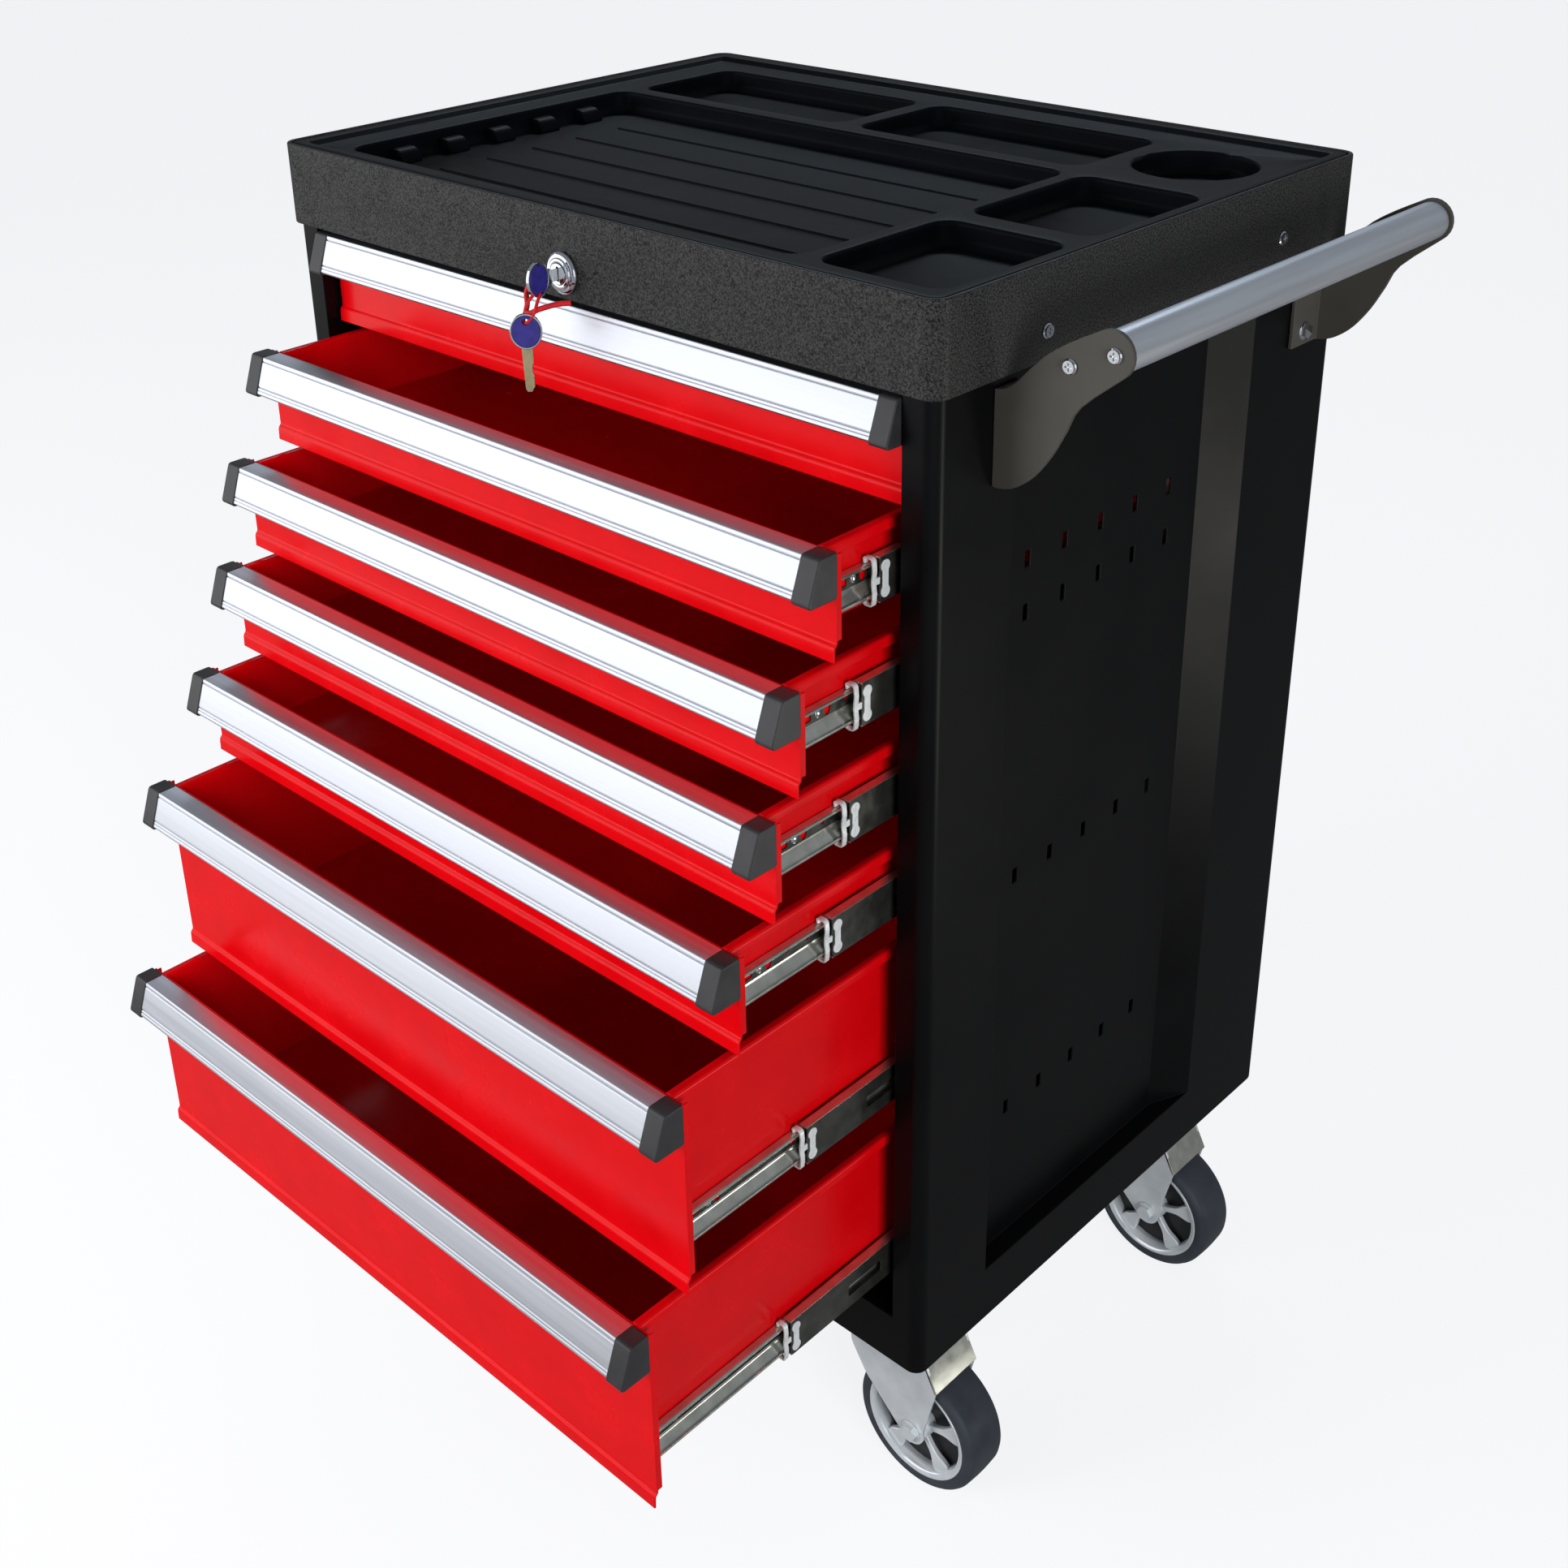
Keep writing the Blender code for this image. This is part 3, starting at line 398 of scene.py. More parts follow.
def shifted(add, offset, flip=False):
    """The same shape moved, and mirrored across x = 0 first where asked."""

    def moved(work):
        before = set(work.verts)
        add(work)
        added = [point for point in work.verts if point not in before]
        for point in added:
            x, y, z = point.co
            point.co = Vector((-x if flip else x, y, z)) + Vector(offset)

    return moved


def placed(shapes, offset, flip=False):
    return [shifted(shape, offset, flip) for shape in shapes]


# %% [markdown]
# A piece is one object whose mesh holds its place, so its object stays at the origin. The helper joins the
# shapes, turns the faces outwards, smooths all but the sharp edges, and lets the piece ride on the body
# that carries it.

# %% Making and finishing a piece
def mesh_of(name, shapes, sharp=32):
    work = bmesh.new()
    for add in shapes:
        add(work)
    bmesh.ops.translate(work, verts=work.verts, vec=CABINET)
    bmesh.ops.recalc_face_normals(work, faces=work.faces)
    mesh = bpy.data.meshes.new(name)
    work.to_mesh(mesh)
    work.free()
    mesh.shade_smooth()
    mesh.set_sharp_from_angle(angle=radians(sharp))
    return mesh


def soften(made, width, segments=2, angle=32):
    """Rounds every edge sharper than the angle."""
    edge = made.modifiers.new("soft_edges", "BEVEL")
    edge.width = width
    edge.segments = segments
    edge.limit_method = "ANGLE"
    edge.angle_limit = radians(angle)
    edge.harden_normals = True
    edge.use_clamp_overlap = False
    return made


def settle(made, material, body, stands_for=()):
    made.data.materials.clear()
    made.data.materials.append(material)
    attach(made, body)
    if stands_for:
        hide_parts(*stands_for)
    return made


def in_scene(name, data):
    made = bpy.data.objects.new(name, data)
    bpy.context.scene.collection.objects.link(made)
    return made


def piece(name, shapes, material, body, stands_for=(), soft=0.0004, segments=2, sharp=32):
    made = in_scene(name, mesh_of(name, shapes, sharp))
    if soft:
        soften(made, soft, segments, sharp)
    return settle(made, material, body, stands_for)


def helper(name, shapes, sharp=32):
    """A template for a node tree, drawn round the world's origin."""
    mesh = mesh_of(name, shapes, sharp)
    mesh.transform(Matrix.Translation(-CABINET))
    return in_scene(name, mesh)


# %% [markdown]
# ## Node trees for what repeats
#
# Screws, balls, spokes and ribs are the same thing many times over. The first tree sets one item on each
# point of a mesh and turns it to the direction that the point stores. The second sets a row of items at
# even steps, and the third sets them round an axle. All end in real meshes with a material.

# %% Trees
def finish_copies(tree, given, result, copies):
    """Sets the item on the copies' points, makes it real, gives it the finish and hands it out."""
    item = tree.nodes.new("GeometryNodeObjectInfo")
    item.inputs["As Instance"].default_value = True
    real = tree.nodes.new("GeometryNodeRealizeInstances")
    paint = tree.nodes.new("GeometryNodeSetMaterial")
    wire(
        tree,
        (given.outputs["Item"], item.inputs["Object"]),
        (item.outputs["Geometry"], copies.inputs["Instance"]),
        (copies.outputs["Instances"], real.inputs["Geometry"]),
        (real.outputs["Geometry"], paint.inputs["Geometry"]),
        (given.outputs["Finish"], paint.inputs["Material"]),
        (paint.outputs["Geometry"], result.inputs["Geometry"]),
    )
    return tree


def copies_tree(name, places):
    """A tree that takes an item, a finish and what says where the copies go."""
    inputs = {**places, "Item": "Object", "Finish": "Material"}
    tree, given, result = new_tree("GeometryNodeTree", name, inputs, {"Geometry": "Geometry"})
    return tree, given, result, tree.nodes.new("GeometryNodeInstanceOnPoints")


def build_fasteners():
    tree, given, result, copies = copies_tree("set_fasteners", {"Points": "Geometry"})
    facing = tree.nodes.new("GeometryNodeInputNamedAttribute")
    facing.data_type = "FLOAT_VECTOR"
    facing.inputs["Name"].default_value = "facing"
    turn = tree.nodes.new("FunctionNodeAlignRotationToVector")
    turn.axis = "Z"
    wire(
        tree,
        (facing.outputs["Attribute"], turn.inputs["Vector"]),
        (given.outputs["Points"], copies.inputs["Points"]),
        (turn.outputs["Rotation"], copies.inputs["Rotation"]),
    )
    return finish_copies(tree, given, result, copies)


def build_row():
    places = {"Count": "Int", "Start": "Vector", "Step": "Vector"}
    tree, given, result, copies = copies_tree("set_row", places)
    line = tree.nodes.new("GeometryNodeMeshLine")
    wire(
        tree,
        (given.outputs["Count"], line.inputs["Count"]),
        (given.outputs["Start"], line.inputs["Start Location"]),
        (given.outputs["Step"], line.inputs["Offset"]),
        (line.outputs["Mesh"], copies.inputs["Points"]),
    )
    return finish_copies(tree, given, result, copies)


def build_ring():
    tree, given, result, copies = copies_tree("set_round_an_axle", {"Count": "Int", "Centre": "Vector"})
    line = tree.nodes.new("GeometryNodeMeshLine")
    line.inputs["Offset"].default_value = (0, 0, 0)
    index = tree.nodes.new("GeometryNodeInputIndex")
    share = maths(tree, "DIVIDE", index.outputs["Index"], given.outputs["Count"])
    about = tree.nodes.new("ShaderNodeCombineXYZ")
    turn = tree.nodes.new("FunctionNodeEulerToRotation")
    wire(
        tree,
        (given.outputs["Count"], line.inputs["Count"]),
        (given.outputs["Centre"], line.inputs["Start Location"]),
        (maths(tree, "MULTIPLY", share, 2 * pi), about.inputs["Y"]),
        (about.outputs["Vector"], turn.inputs["Euler"]),
        (line.outputs["Mesh"], copies.inputs["Points"]),
        (turn.outputs["Rotation"], copies.inputs["Rotation"]),
    )
    return finish_copies(tree, given, result, copies)


SET_FASTENERS, SET_ROW, SET_RING = build_fasteners(), build_row(), build_ring()


def settled_mesh(name, host):
    """What an object comes to with its modifiers, as a plain mesh. The object goes."""
    graph = bpy.context.evaluated_depsgraph_get()
    mesh = bpy.data.meshes.new_from_object(host.evaluated_get(graph))
    bpy.data.objects.remove(host)
    mesh.name = name
    return mesh


def grow(name, tree, values, carrier=None):
    """Runs a tree with these values and returns its result as a plain mesh."""
    host = in_scene(name, carrier or bpy.data.meshes.new(name))
    step = host.modifiers.new(name, "NODES")
    step.node_group = tree
    sockets = {s.name: s.identifier for s in tree.interface.items_tree if s.in_out == "INPUT"}
    for label, value in values.items():
        step[sockets[label]] = value
    return settled_mesh(name, host)


def grown_piece(name, meshes, material, body):
    """One piece from one or more grown meshes."""
    work = bmesh.new()
    for mesh in meshes:
        work.from_mesh(mesh)
    mesh = bpy.data.meshes.new(name)
    work.to_mesh(mesh)
    work.free()
    return settle(in_scene(name, mesh), material, body)


print("three trees:", [tree.name for tree in (SET_FASTENERS, SET_ROW, SET_RING)])

# %% [markdown]
# ## The sheet-metal parts that keep their measured shape
#
# The body, the back, the top frame, the slide carriers, the brackets and the caster plates already have the
# right shape. Their meshes stay as they are. A Weld closes the loose triangles, a Decimate in planar mode
# clears the lines across flat faces, and a Bevel rolls the folds as a press brake would.

# %% Dress the measured parts
def dress(node, material, fold, segments=2):
    made = frame["nodes"][node]
    made.data.materials.clear()
    made.data.materials.append(material)
    made.data.polygons.foreach_set("use_smooth", [True] * len(made.data.polygons))
    weld = made.modifiers.new("weld", "WELD")
    weld.merge_threshold = 1e-5
    clear = made.modifiers.new("clear_flats", "DECIMATE")
    clear.decimate_type = "DISSOLVE"
    clear.angle_limit = radians(1)
    soften(made, fold, segments, 18)
    even = made.modifiers.new("even_normals", "WEIGHTED_NORMAL")
    even.keep_sharp = True


dress("cabinet_shell", BLACK_COAT, 0.0009, 3)
dress("back_panel", BLACK_COAT, 0.0008)
dress("top_frame", TEXTURED_COAT, 0.0012, 3)
dress("lock_bar", ZINC_PLATE, 0.0003)
for side in ("left", "right"):
    dress(f"slide_carrier_{side}", ZINC_PLATE, 0.0003)
for end in ("front", "rear"):
    # the brackets get the grey painted sheen in place of their own black
    dress(f"side_handle_bracket_{end}", BRACKET_PAINTED_SHEEN_COAT, 0.0005)
    for side in ("left", "right"):
        dress(f"caster_{end}_{side}_plate", ZINC_PLATE, 0.0005)
print("dressed the measured sheet-metal parts")

# %% [markdown]
# ## The drawers
#
# A drawer pan is one folded sheet. Its sides end in a hem, rolled over the top so that no raw edge shows. A
# sheet's section is easiest to give as the line along its middle: bend the line, then give it a thickness.
# The front panel is a second sheet whose foot steps forward into a lip, and the rear wall is a third.

# %% Drawer pans
PANEL_FRONT, PANEL_HALF, PAN_REAR = 0.0168, 0.2773, 0.4168
WALL_X, HEM_X, HEM_DROP = 0.2624, 0.2684, 0.0068
PAN_SHEET, PANEL_SHEET = 0.0012, 0.0014
PAN_FLOOR = {False: -0.0514, True: -0.1234}


def pan_section(floor):
    """Down one side, across the floor and up the other, with a hem on both ends."""
    right = [(HEM_X, -HEM_DROP), (HEM_X, -0.0006), (WALL_X, -0.0006), (WALL_X, floor)]
    path = [(-x, z) for x, z in right] + right[::-1]
    return folded(eased(path, 0.0018, closed=False), PAN_SHEET)


def pan_shapes(n):
    floor, foot = PAN_FLOOR[DEEP[n]], FEET[n] - TOPS[n]
    panel_line = [
        (PANEL_FRONT + 0.0007, -0.0006),
        (PANEL_FRONT + 0.0007, foot + 0.0112),
        (PANEL_FRONT - 0.0016, foot + 0.0092),
        (PANEL_FRONT - 0.0020, foot + 0.0002),
    ]
    rear_line = [(PAN_REAR - 0.0006, floor), (PAN_REAR - 0.0006, -0.0086), (PAN_REAR - 0.0040, -0.0086)]
    shapes = [
        pulled(pan_section(floor), "Y", PANEL_FRONT + 0.0012, PAN_REAR),
        bent(panel_line, 0.0016, PANEL_SHEET, "X", -PANEL_HALF, PANEL_HALF),
        bent(rear_line, 0.0012, PAN_SHEET, "X", -WALL_X + 0.0003, WALL_X - 0.0003),
    ]
    for side in (-1, 1):
        across = sorted((side * (PANEL_HALF - 0.0012), side * (PANEL_HALF - 0.0001)))
        shapes.append(block(across, (PANEL_FRONT + 0.0010, PANEL_FRONT + 0.0050), (foot + 0.0130, -0.0020)))
    return shapes


for n in NUMBERS:
    sheets, body = placed(pan_shapes(n), (0, -OPEN[n], TOPS[n])), f"drawer_{n}"
    piece(f"drawer_{n}_pan", sheets, RED_COAT, body, [f"drawer_{n}_tray"], 0.0003)
print("seven pans")

# %% [markdown]
# The handle is an aluminium extrusion as wide as the drawer. Its section holds everything that shows: a
# flat top, a leaning face with a fine groove near each edge, and a finger pull turned back under it.
# Grooves cut in the section stay sharp in any light, which a bump would not. A plastic cap closes each end.

# %% Handles
FACE_TOP, FACE_FOOT = Vector((0.0020, 0.0)), Vector((-0.0071, -0.0254))
FACE_LINE = (FACE_FOOT - FACE_TOP).normalized()
FACE_IN = Vector((-FACE_LINE.y, FACE_LINE.x))
GRIP_BACK, GRIP_HALF, CAP_OUTER = 0.0165, 0.2655, 0.2790


def groove(down, width=0.0009, depth=0.0006):
    """Three points of a groove in the handle's face, this far below its top edge."""
    steps = ((down - width / 2, 0), (down, depth), (down + width / 2, 0))
    return [tuple(FACE_TOP + FACE_LINE * along + FACE_IN * sunk) for along, sunk in steps]


FACE_LENGTH = (FACE_FOOT - FACE_TOP).length
GRIP_SECTION = eased(
    [
        (GRIP_BACK, 0),
        tuple(FACE_TOP),
        *groove(0.0032),
        *groove(FACE_LENGTH - 0.0050),
        *groove(FACE_LENGTH - 0.0026, 0.0006, 0.0003),
        tuple(FACE_FOOT),
        (-0.0055, -0.0270),
        (-0.0012, -0.0270),
        (-0.0012, -0.0252),
        (-0.0046, -0.0252),
        (0.0034, -0.0020),
        (0.0147, -0.0020),
        (0.0147, -0.0275),
        (GRIP_BACK, -0.0275),
    ],
    0.0009,
)
CAP_SECTION = eased(
    [(GRIP_BACK, 0.0007), (0.0016, 0.0007), (-0.0082, -0.0262), (-0.0064, -0.0284), (GRIP_BACK, -0.0287)],
    0.0022,
)
for n in NUMBERS:
    offset, body = (0, -OPEN[n], TOPS[n]), f"drawer_{n}"
    grip = shifted(pulled(GRIP_SECTION, "X", -GRIP_HALF, GRIP_HALF), offset)
    piece(f"drawer_{n}_grip", [grip], GRIP_METAL, body, [f"drawer_{n}_handle"], 0)
    caps = [
        shifted(pulled(CAP_SECTION, "X", *sorted((side * (GRIP_HALF - 0.0010), side * CAP_OUTER))), offset)
        for side in (-1, 1)
    ]
    piece(f"drawer_{n}_grip_caps", caps, CAP_PLASTIC, body, (), 0.0010, 3)
print("grip section with", len(GRIP_SECTION), "points")

# %% [markdown]
# ## Ball slides
#
# Each slide has three members, one inside the other. The inner one is riveted to the pan and the middle one
# runs between them on balls. Their webs are pierced for screws and for the catches. A hole through a plate
# can be drawn as a loop inside its outline and filled in one step, so no Boolean is needed. A web lies in
# the shade between its bright bent edges, so each member is made as a web with painted shade, the zinc
# painted darker, and as the edges that the balls run in.

# %% Inner slide members
SLIDE_Z = {n: TOPS[n] - (0.105 if DEEP[n] else 0.034) for n in NUMBERS}
INNER_START, INNER_END = 0.026, 0.412
OVALS = (0.0290, 0.0980, 0.2010, 0.2900)
DOMES = (0.0205, 0.1500, 0.3300)
ROUNDS = (0.0460, 0.0640, 0.2400, 0.3650)
HOLE_Z = 0.0038
INNER_WEB, MIDDLE_WEB = (0.2633, 0.2643), (0.2720, 0.2731)


def inner_web():
    """The right-hand web of a closed drawer, about its own middle height."""
    outline = rounded((INNER_START, INNER_END), (-0.0030, 0.0106), 0.0010, 3)
    holes = [rounded((INNER_START + 0.0065, INNER_START + 0.0145), (0.0006, 0.0072), 0.0008, 2)]
    holes += [oval((INNER_START + y, HOLE_Z), 0.0029, 0.0046, 18) for y in OVALS]
    holes += [oval((INNER_START + y, HOLE_Z), 0.0017, 0.0017, 14) for y in ROUNDS]
    return pierced(outline, holes, "X", *INNER_WEB)


def inner_races():
    """The lip above the web, the race below it, and the stop across the front end."""
    lip = [(0.2636, 0.0104), (0.2686, 0.0104), (0.2696, 0.0092)]
    race = [(0.2638, -0.0012), (0.2641, -0.0034), (0.2688, -0.0098), (0.2706, -0.0104), (0.2706, -0.0082)]
    stop = [(0.2636, 0.0098), (0.2690, 0.0060), (0.2690, -0.0060), (0.2640, -0.0098)]
    shapes = [bent(line, 0.0014, 0.0010, "Y", INNER_START, INNER_END) for line in (lip, race)]
    return [*shapes, bent(stop, 0.0020, 0.0009, "Y", INNER_START - 0.0012, INNER_START + 0.0014)]


for n in NUMBERS:
    for side, flip in (("left", True), ("right", False)):
        offset, body = (0, -OPEN[n], SLIDE_Z[n]), f"drawer_{n}"
        web, races = placed([inner_web()], offset, flip), placed(inner_races(), offset, flip)
        piece(f"drawer_{n}_member_{side}", web, SLIDE_WEB_PAINTED_SHADE, body, (), 0.0002)
        piece(f"drawer_{n}_races_{side}", races, ZINC_PLATE, body, (), 0.0002)
print("fourteen inner members")

# %% [markdown]
# The middle member has two long windows, and at its front a bright clip that keeps the inner member
# central. Its balls run in a row above and a row below. They are made by the row tree from one ball of few
# faces, because there are hundreds of them.

# %% Middle members, retainers and balls
RUNNER_START, RUNNER_END = 0.027, 0.415


def middle_web():
    outline = rounded((RUNNER_START, RUNNER_END), (-0.0146, 0.0146), 0.0012, 3)
    starts = (RUNNER_START + 0.058, RUNNER_START + 0.290)
    windows = [rounded((y, y + 0.034), (-0.0045, 0.0045), 0.0012, 3) for y in starts]
    holes = [oval((RUNNER_START + y, 0), 0.0024, 0.0024, 14) for y in (0.130, 0.210, 0.255)]
    return pierced(outline, windows + holes, "X", *MIDDLE_WEB)


def middle_flanges():
    lines = [[(0.2728, up * 0.0143), (0.2664, up * 0.0143), (0.2652, up * 0.0130)] for up in (-1, 1)]
    return [bent(line, 0.0014, 0.0011, "Y", RUNNER_START, RUNNER_END) for line in lines]


def retainer():
    """A clip that reaches round the inner member, and a flat boss shaped like a bone on the web."""
    start, end = RUNNER_START - 0.0066, RUNNER_START - 0.0030
    section = [(0.2664, 0.0112), (0.2656, 0.0152), (0.2722, 0.0152), (0.2730, 0.0080), (0.2722, 0.0)]
    section += [(x, -z) for x, z in section[-2::-1]]
    ring = bent(section, 0.0022, 0.0014, "Y", start, end)
    low = arc((RUNNER_START + 0.0046, -0.0082), 0.0040, 130, 410, 14)
    high = arc((RUNNER_START + 0.0046, 0.0082), 0.0040, -50, 230, 14)
    boss = pulled(eased(low + high, 0.0012, steps=2), "X", 0.2728, 0.2737)
    neck = rounded((end - 0.0010, RUNNER_START + 0.0050), (-0.0022, 0.0022), 0.0008, 3)
    return [ring, boss, pulled(neck, "X", 0.2716, 0.2730)]


ball = helper("ball", [turned(arc((0, 0), 0.00125, -90, 90, 4), "Z", (0, 0, 0), 8)], 80)
BALLS_IN_ROW, BALL_STEP = 18, 0.0085
for n in NUMBERS:
    y = -OPEN[n] / 2
    for side, flip, sign in (("left", True, -1), ("right", False, 1)):
        offset, body = (0, y, SLIDE_Z[n]), f"runners_{n}"
        web, flanges = placed([middle_web()], offset, flip), placed(middle_flanges(), offset, flip)
        stands_for = [f"drawer_{n}_runner_{side}"]
        piece(f"drawer_{n}_middle_{side}", web, SLIDE_WEB_PAINTED_SHADE, body, stands_for, 0.0002)
        piece(f"drawer_{n}_flanges_{side}", flanges, ZINC_PLATE, body, (), 0.0002)
        clip = placed(retainer(), offset, flip)
        piece(f"drawer_{n}_retainer_{side}", clip, CLIP_WHITE, body, (), 0.0003)
        rows = []
        for up in (-1, 1):
            start = CABINET + Vector((sign * 0.2684, RUNNER_START + 0.0045 + y, SLIDE_Z[n] + up * 0.01235))
            values = {"Item": ball, "Count": BALLS_IN_ROW, "Start": start, "Step": Vector((0, BALL_STEP, 0))}
            rows.append(grow("ball_row", SET_ROW, {**values, "Finish": CHROME_PLATE}))
        grown_piece(f"drawer_{n}_balls_{side}", rows, CHROME_PLATE, body)
bpy.data.objects.remove(ball)
print(14 * 2 * BALLS_IN_ROW, "balls")

# %% [markdown]
# ## Screws and rivets
#
# A screw's head is a low dome with a cross recess, and a rivet's is a plain dome. Each is drawn once,
# standing on the origin. A mesh of bare points then says where the copies go, and stores the direction that
# each one faces.

# %% Fastener heads
def cross(long, thin):
    return [
        (thin, thin), (thin, long), (-thin, long), (-thin, thin), (-long, thin), (-long, -thin),
        (-thin, -thin), (-thin, -long), (thin, -long), (thin, -thin), (long, -thin), (long, thin),
    ]


def screw_head(radius, height):
    """A pan head: a disc, and over it a smaller one that the cross is cut from."""
    low, top = height * 0.55, radius * 0.82
    base = [(0, -0.001), (radius * 0.9, -0.001), (radius, 0), (radius, low * 0.6), (top, low), (0, low)]
    rim, recess = oval((0, 0), top, top, 24), cross(radius * 0.52, radius * 0.13)
    return [turned(base, "Z", (0, 0, 0), 24), pierced(rim, [recess], "Z", low, height)]


def dome_head(radius, height):
    dome = [(radius * cos(t * pi / 12), height * sin(t * pi / 12)) for t in range(6)]
    return [turned([*dome, (0, height), (0, -0.0006), (radius, -0.0006)], "Z", (0, 0, 0), 20)]


def hex_head(radius, height):
    wide = radius * 1.25
    flange = [(0, -0.0005), (wide, -0.0005), (wide, 0.0006), (radius * 0.9, 0.0010), (0, 0.0010)]
    return [turned(flange, "Z", (0, 0, 0), 24), pulled(oval((0, 0), radius, radius, 6), "Z", 0.0008, height)]


def fasten(name, template, places, material, body):
    """Copies of a head at (point, facing) pairs in the cabinet's frame, as one piece."""
    points = bpy.data.meshes.new(name)
    points.from_pydata([CABINET + Vector(point) for point, _ in places], [], [])
    facing = points.attributes.new("facing", "FLOAT_VECTOR", "POINT")
    for entry, (_, way) in zip(facing.data, places):
        entry.vector = way
    mesh = grow(name, SET_FASTENERS, {"Item": template, "Finish": material}, points)
    return grown_piece(name, [mesh], material, body)


LEFT, RIGHT, FRONT, REAR, DOWN = (-1, 0, 0), (1, 0, 0), (0, -1, 0), (0, 1, 0), (0, 0, -1)
side_screw = helper("side_screw", screw_head(0.0046, 0.0024))
small_rivet = helper("small_rivet", dome_head(0.0032, 0.0014), 60)
flange_bolt = helper("flange_bolt", hex_head(0.0052, 0.0042))

places = [((x, y, 0.9225), way) for x, way in ((0.3080, RIGHT), (-0.3080, LEFT)) for y in (0.1005, 0.3630)]
fasten("top_frame_screws", side_screw, places, CHROME_PLATE, "cabinet")
ends = ((0.0570, FRONT), (0.4275, REAR))
places = [((x, y, z), way) for y, way in ends for x, z in ((0.3558, 0.9225), (0.3848, 0.9348))]
fasten("bracket_screws", side_screw, places, CHROME_PLATE, "cabinet")
places = [((0.3073, y, z), RIGHT) for y in (0.4060, 0.0700) for z in (0.848, 0.886)]
fasten("bracket_bolts", flange_bolt, places, CHROME_PLATE, "cabinet")
places = [((side * 0.2920, 0.4550, z), REAR) for side in (-1, 1) for z in (0.215, 0.440, 0.665, 0.888)]
fasten("back_rivets", small_rivet, places, ZINC_PLATE, "cabinet")
for n in NUMBERS:
    places = []
    for side, way in ((-1, LEFT), (1, RIGHT)):
        places += [((side * 0.2643, INNER_START + y - OPEN[n], SLIDE_Z[n] + HOLE_Z), way) for y in DOMES]
    fasten(f"drawer_{n}_rivets", small_rivet, places, CHROME_PLATE, f"drawer_{n}")
places = []
for x in (-0.234, 0.234):
    for y in (0.0706, 0.3884):
        places += [((x + i * 0.037, y + k * 0.028, 0.1687), DOWN) for i in (-1, 1) for k in (-1, 1)]
fasten("caster_plate_bolts", flange_bolt, places, ZINC_PLATE, "cabinet")
print("fasteners set")

# %% [markdown]
# ## The worktop
#
# The worktop is one vacuum-formed skin with six pockets. A formed skin never has a sharp corner, so each
# pocket is a stack of its own outline: a small radius over the lip, a straight wall, and a larger radius at
# the floor. The deck is the flat left between the rim and the pockets' first outlines. The skin gets its
# wall from Solidify.

# %% Worktop skin
DECK, POCKET_FLOOR, RIM_TOP = FRAME_TOP - 0.0045, FRAME_TOP - 0.0205, FRAME_TOP - 0.0005
POCKETS = (
    ((-0.268, 0.176), (0.030, 0.301), 0.014),
    ((-0.262, -0.048), (0.318, 0.418), 0.014),
    ((-0.030, 0.172), (0.318, 0.418), 0.014),
    ((0.190, 0.286), (0.030, 0.152), 0.014),
    ((0.190, 0.286), (0.174, 0.300), 0.014),
    ((0.189, 0.275), (0.329, 0.415), 0.043),
)
POCKET_STACK = (
    (0.0024, DECK), (0.0012, DECK - 0.0003), (0.0003, DECK - 0.0012), (0, DECK - 0.0030),
    (-0.0003, POCKET_FLOOR + 0.0060), (-0.0012, POCKET_FLOOR + 0.0030), (-0.0032, POCKET_FLOOR + 0.0010),
    (-0.0062, POCKET_FLOOR),
)
RIM_STACK = (
    (0, FRAME_TOP - 0.0160), (0, RIM_TOP - 0.0016), (0.0006, RIM_TOP - 0.0005), (0.0018, RIM_TOP),
    (0.0086, RIM_TOP), (0.0100, RIM_TOP - 0.0006), (0.0118, DECK + 0.0006), (0.0134, DECK),
)
RIM_CLEAR, LEAST_RADIUS = 0.0035, 0.0025
RIM_X, RIM_Y = (RIM_CLEAR - FRAME_HALF, FRAME_HALF - RIM_CLEAR), (RIM_CLEAR, FRAME_DEPTH - RIM_CLEAR)


def stack_of(x, y, radius, stack):
    """One outline per level: each is the first one grown by an amount, at a height."""
    loops = []
    for grown, z in stack:
        spans = [(low - grown, high + grown) for low, high in (x, y)]
        loops.append([(a, b, z) for a, b in rounded(*spans, max(radius + grown, LEAST_RADIUS), 7)])
    return loops


def worktop_skin(work):
    lips = []
    rim = stack_of(RIM_X, RIM_Y, 0.0085, [(-inset, z) for inset, z in RIM_STACK])
    for loops, is_pocket in [(rim, False)] + [(stack_of(*pocket, POCKET_STACK), True) for pocket in POCKETS]:
        rings = [[work.verts.new(point) for point in loop] for loop in loops]
        for above, below in zip(rings, rings[1:]):
            for i, point in enumerate(above):
                j = (i + 1) % len(above)
                work.faces.new((point, above[j], below[j], below[i]))
        lip = rings[0] if is_pocket else rings[-1]
        lips += [work.edges.get((a, b)) for a, b in zip(lip, lip[1:] + lip[:1])]
        if is_pocket:
            work.faces.new(rings[-1])
    bmesh.ops.triangle_fill(work, edges=lips, use_beauty=True)


def facing_up(mesh):
    """Turns an open skin over if its faces look down."""
    if sum(face.normal.z * face.area for face in mesh.polygons) < 0:
        mesh.flip_normals()
    return mesh


skin = in_scene("worktop", facing_up(mesh_of("worktop", [worktop_skin], 60)))
wall = skin.modifiers.new("wall", "SOLIDIFY")
wall.thickness = 0.0022
wall.offset = -1
wall.use_even_offset = True
settle(skin, TOP_PLASTIC, "cabinet", ["worktop_tray"])
print("worktop skin with", len(skin.data.polygons), "faces")

# %% [markdown]
# Low ribs keep small tools from rolling across the large pocket, and a row of rests stands at its left end.
# Both are the same shape at even steps, so the row tree sets them.

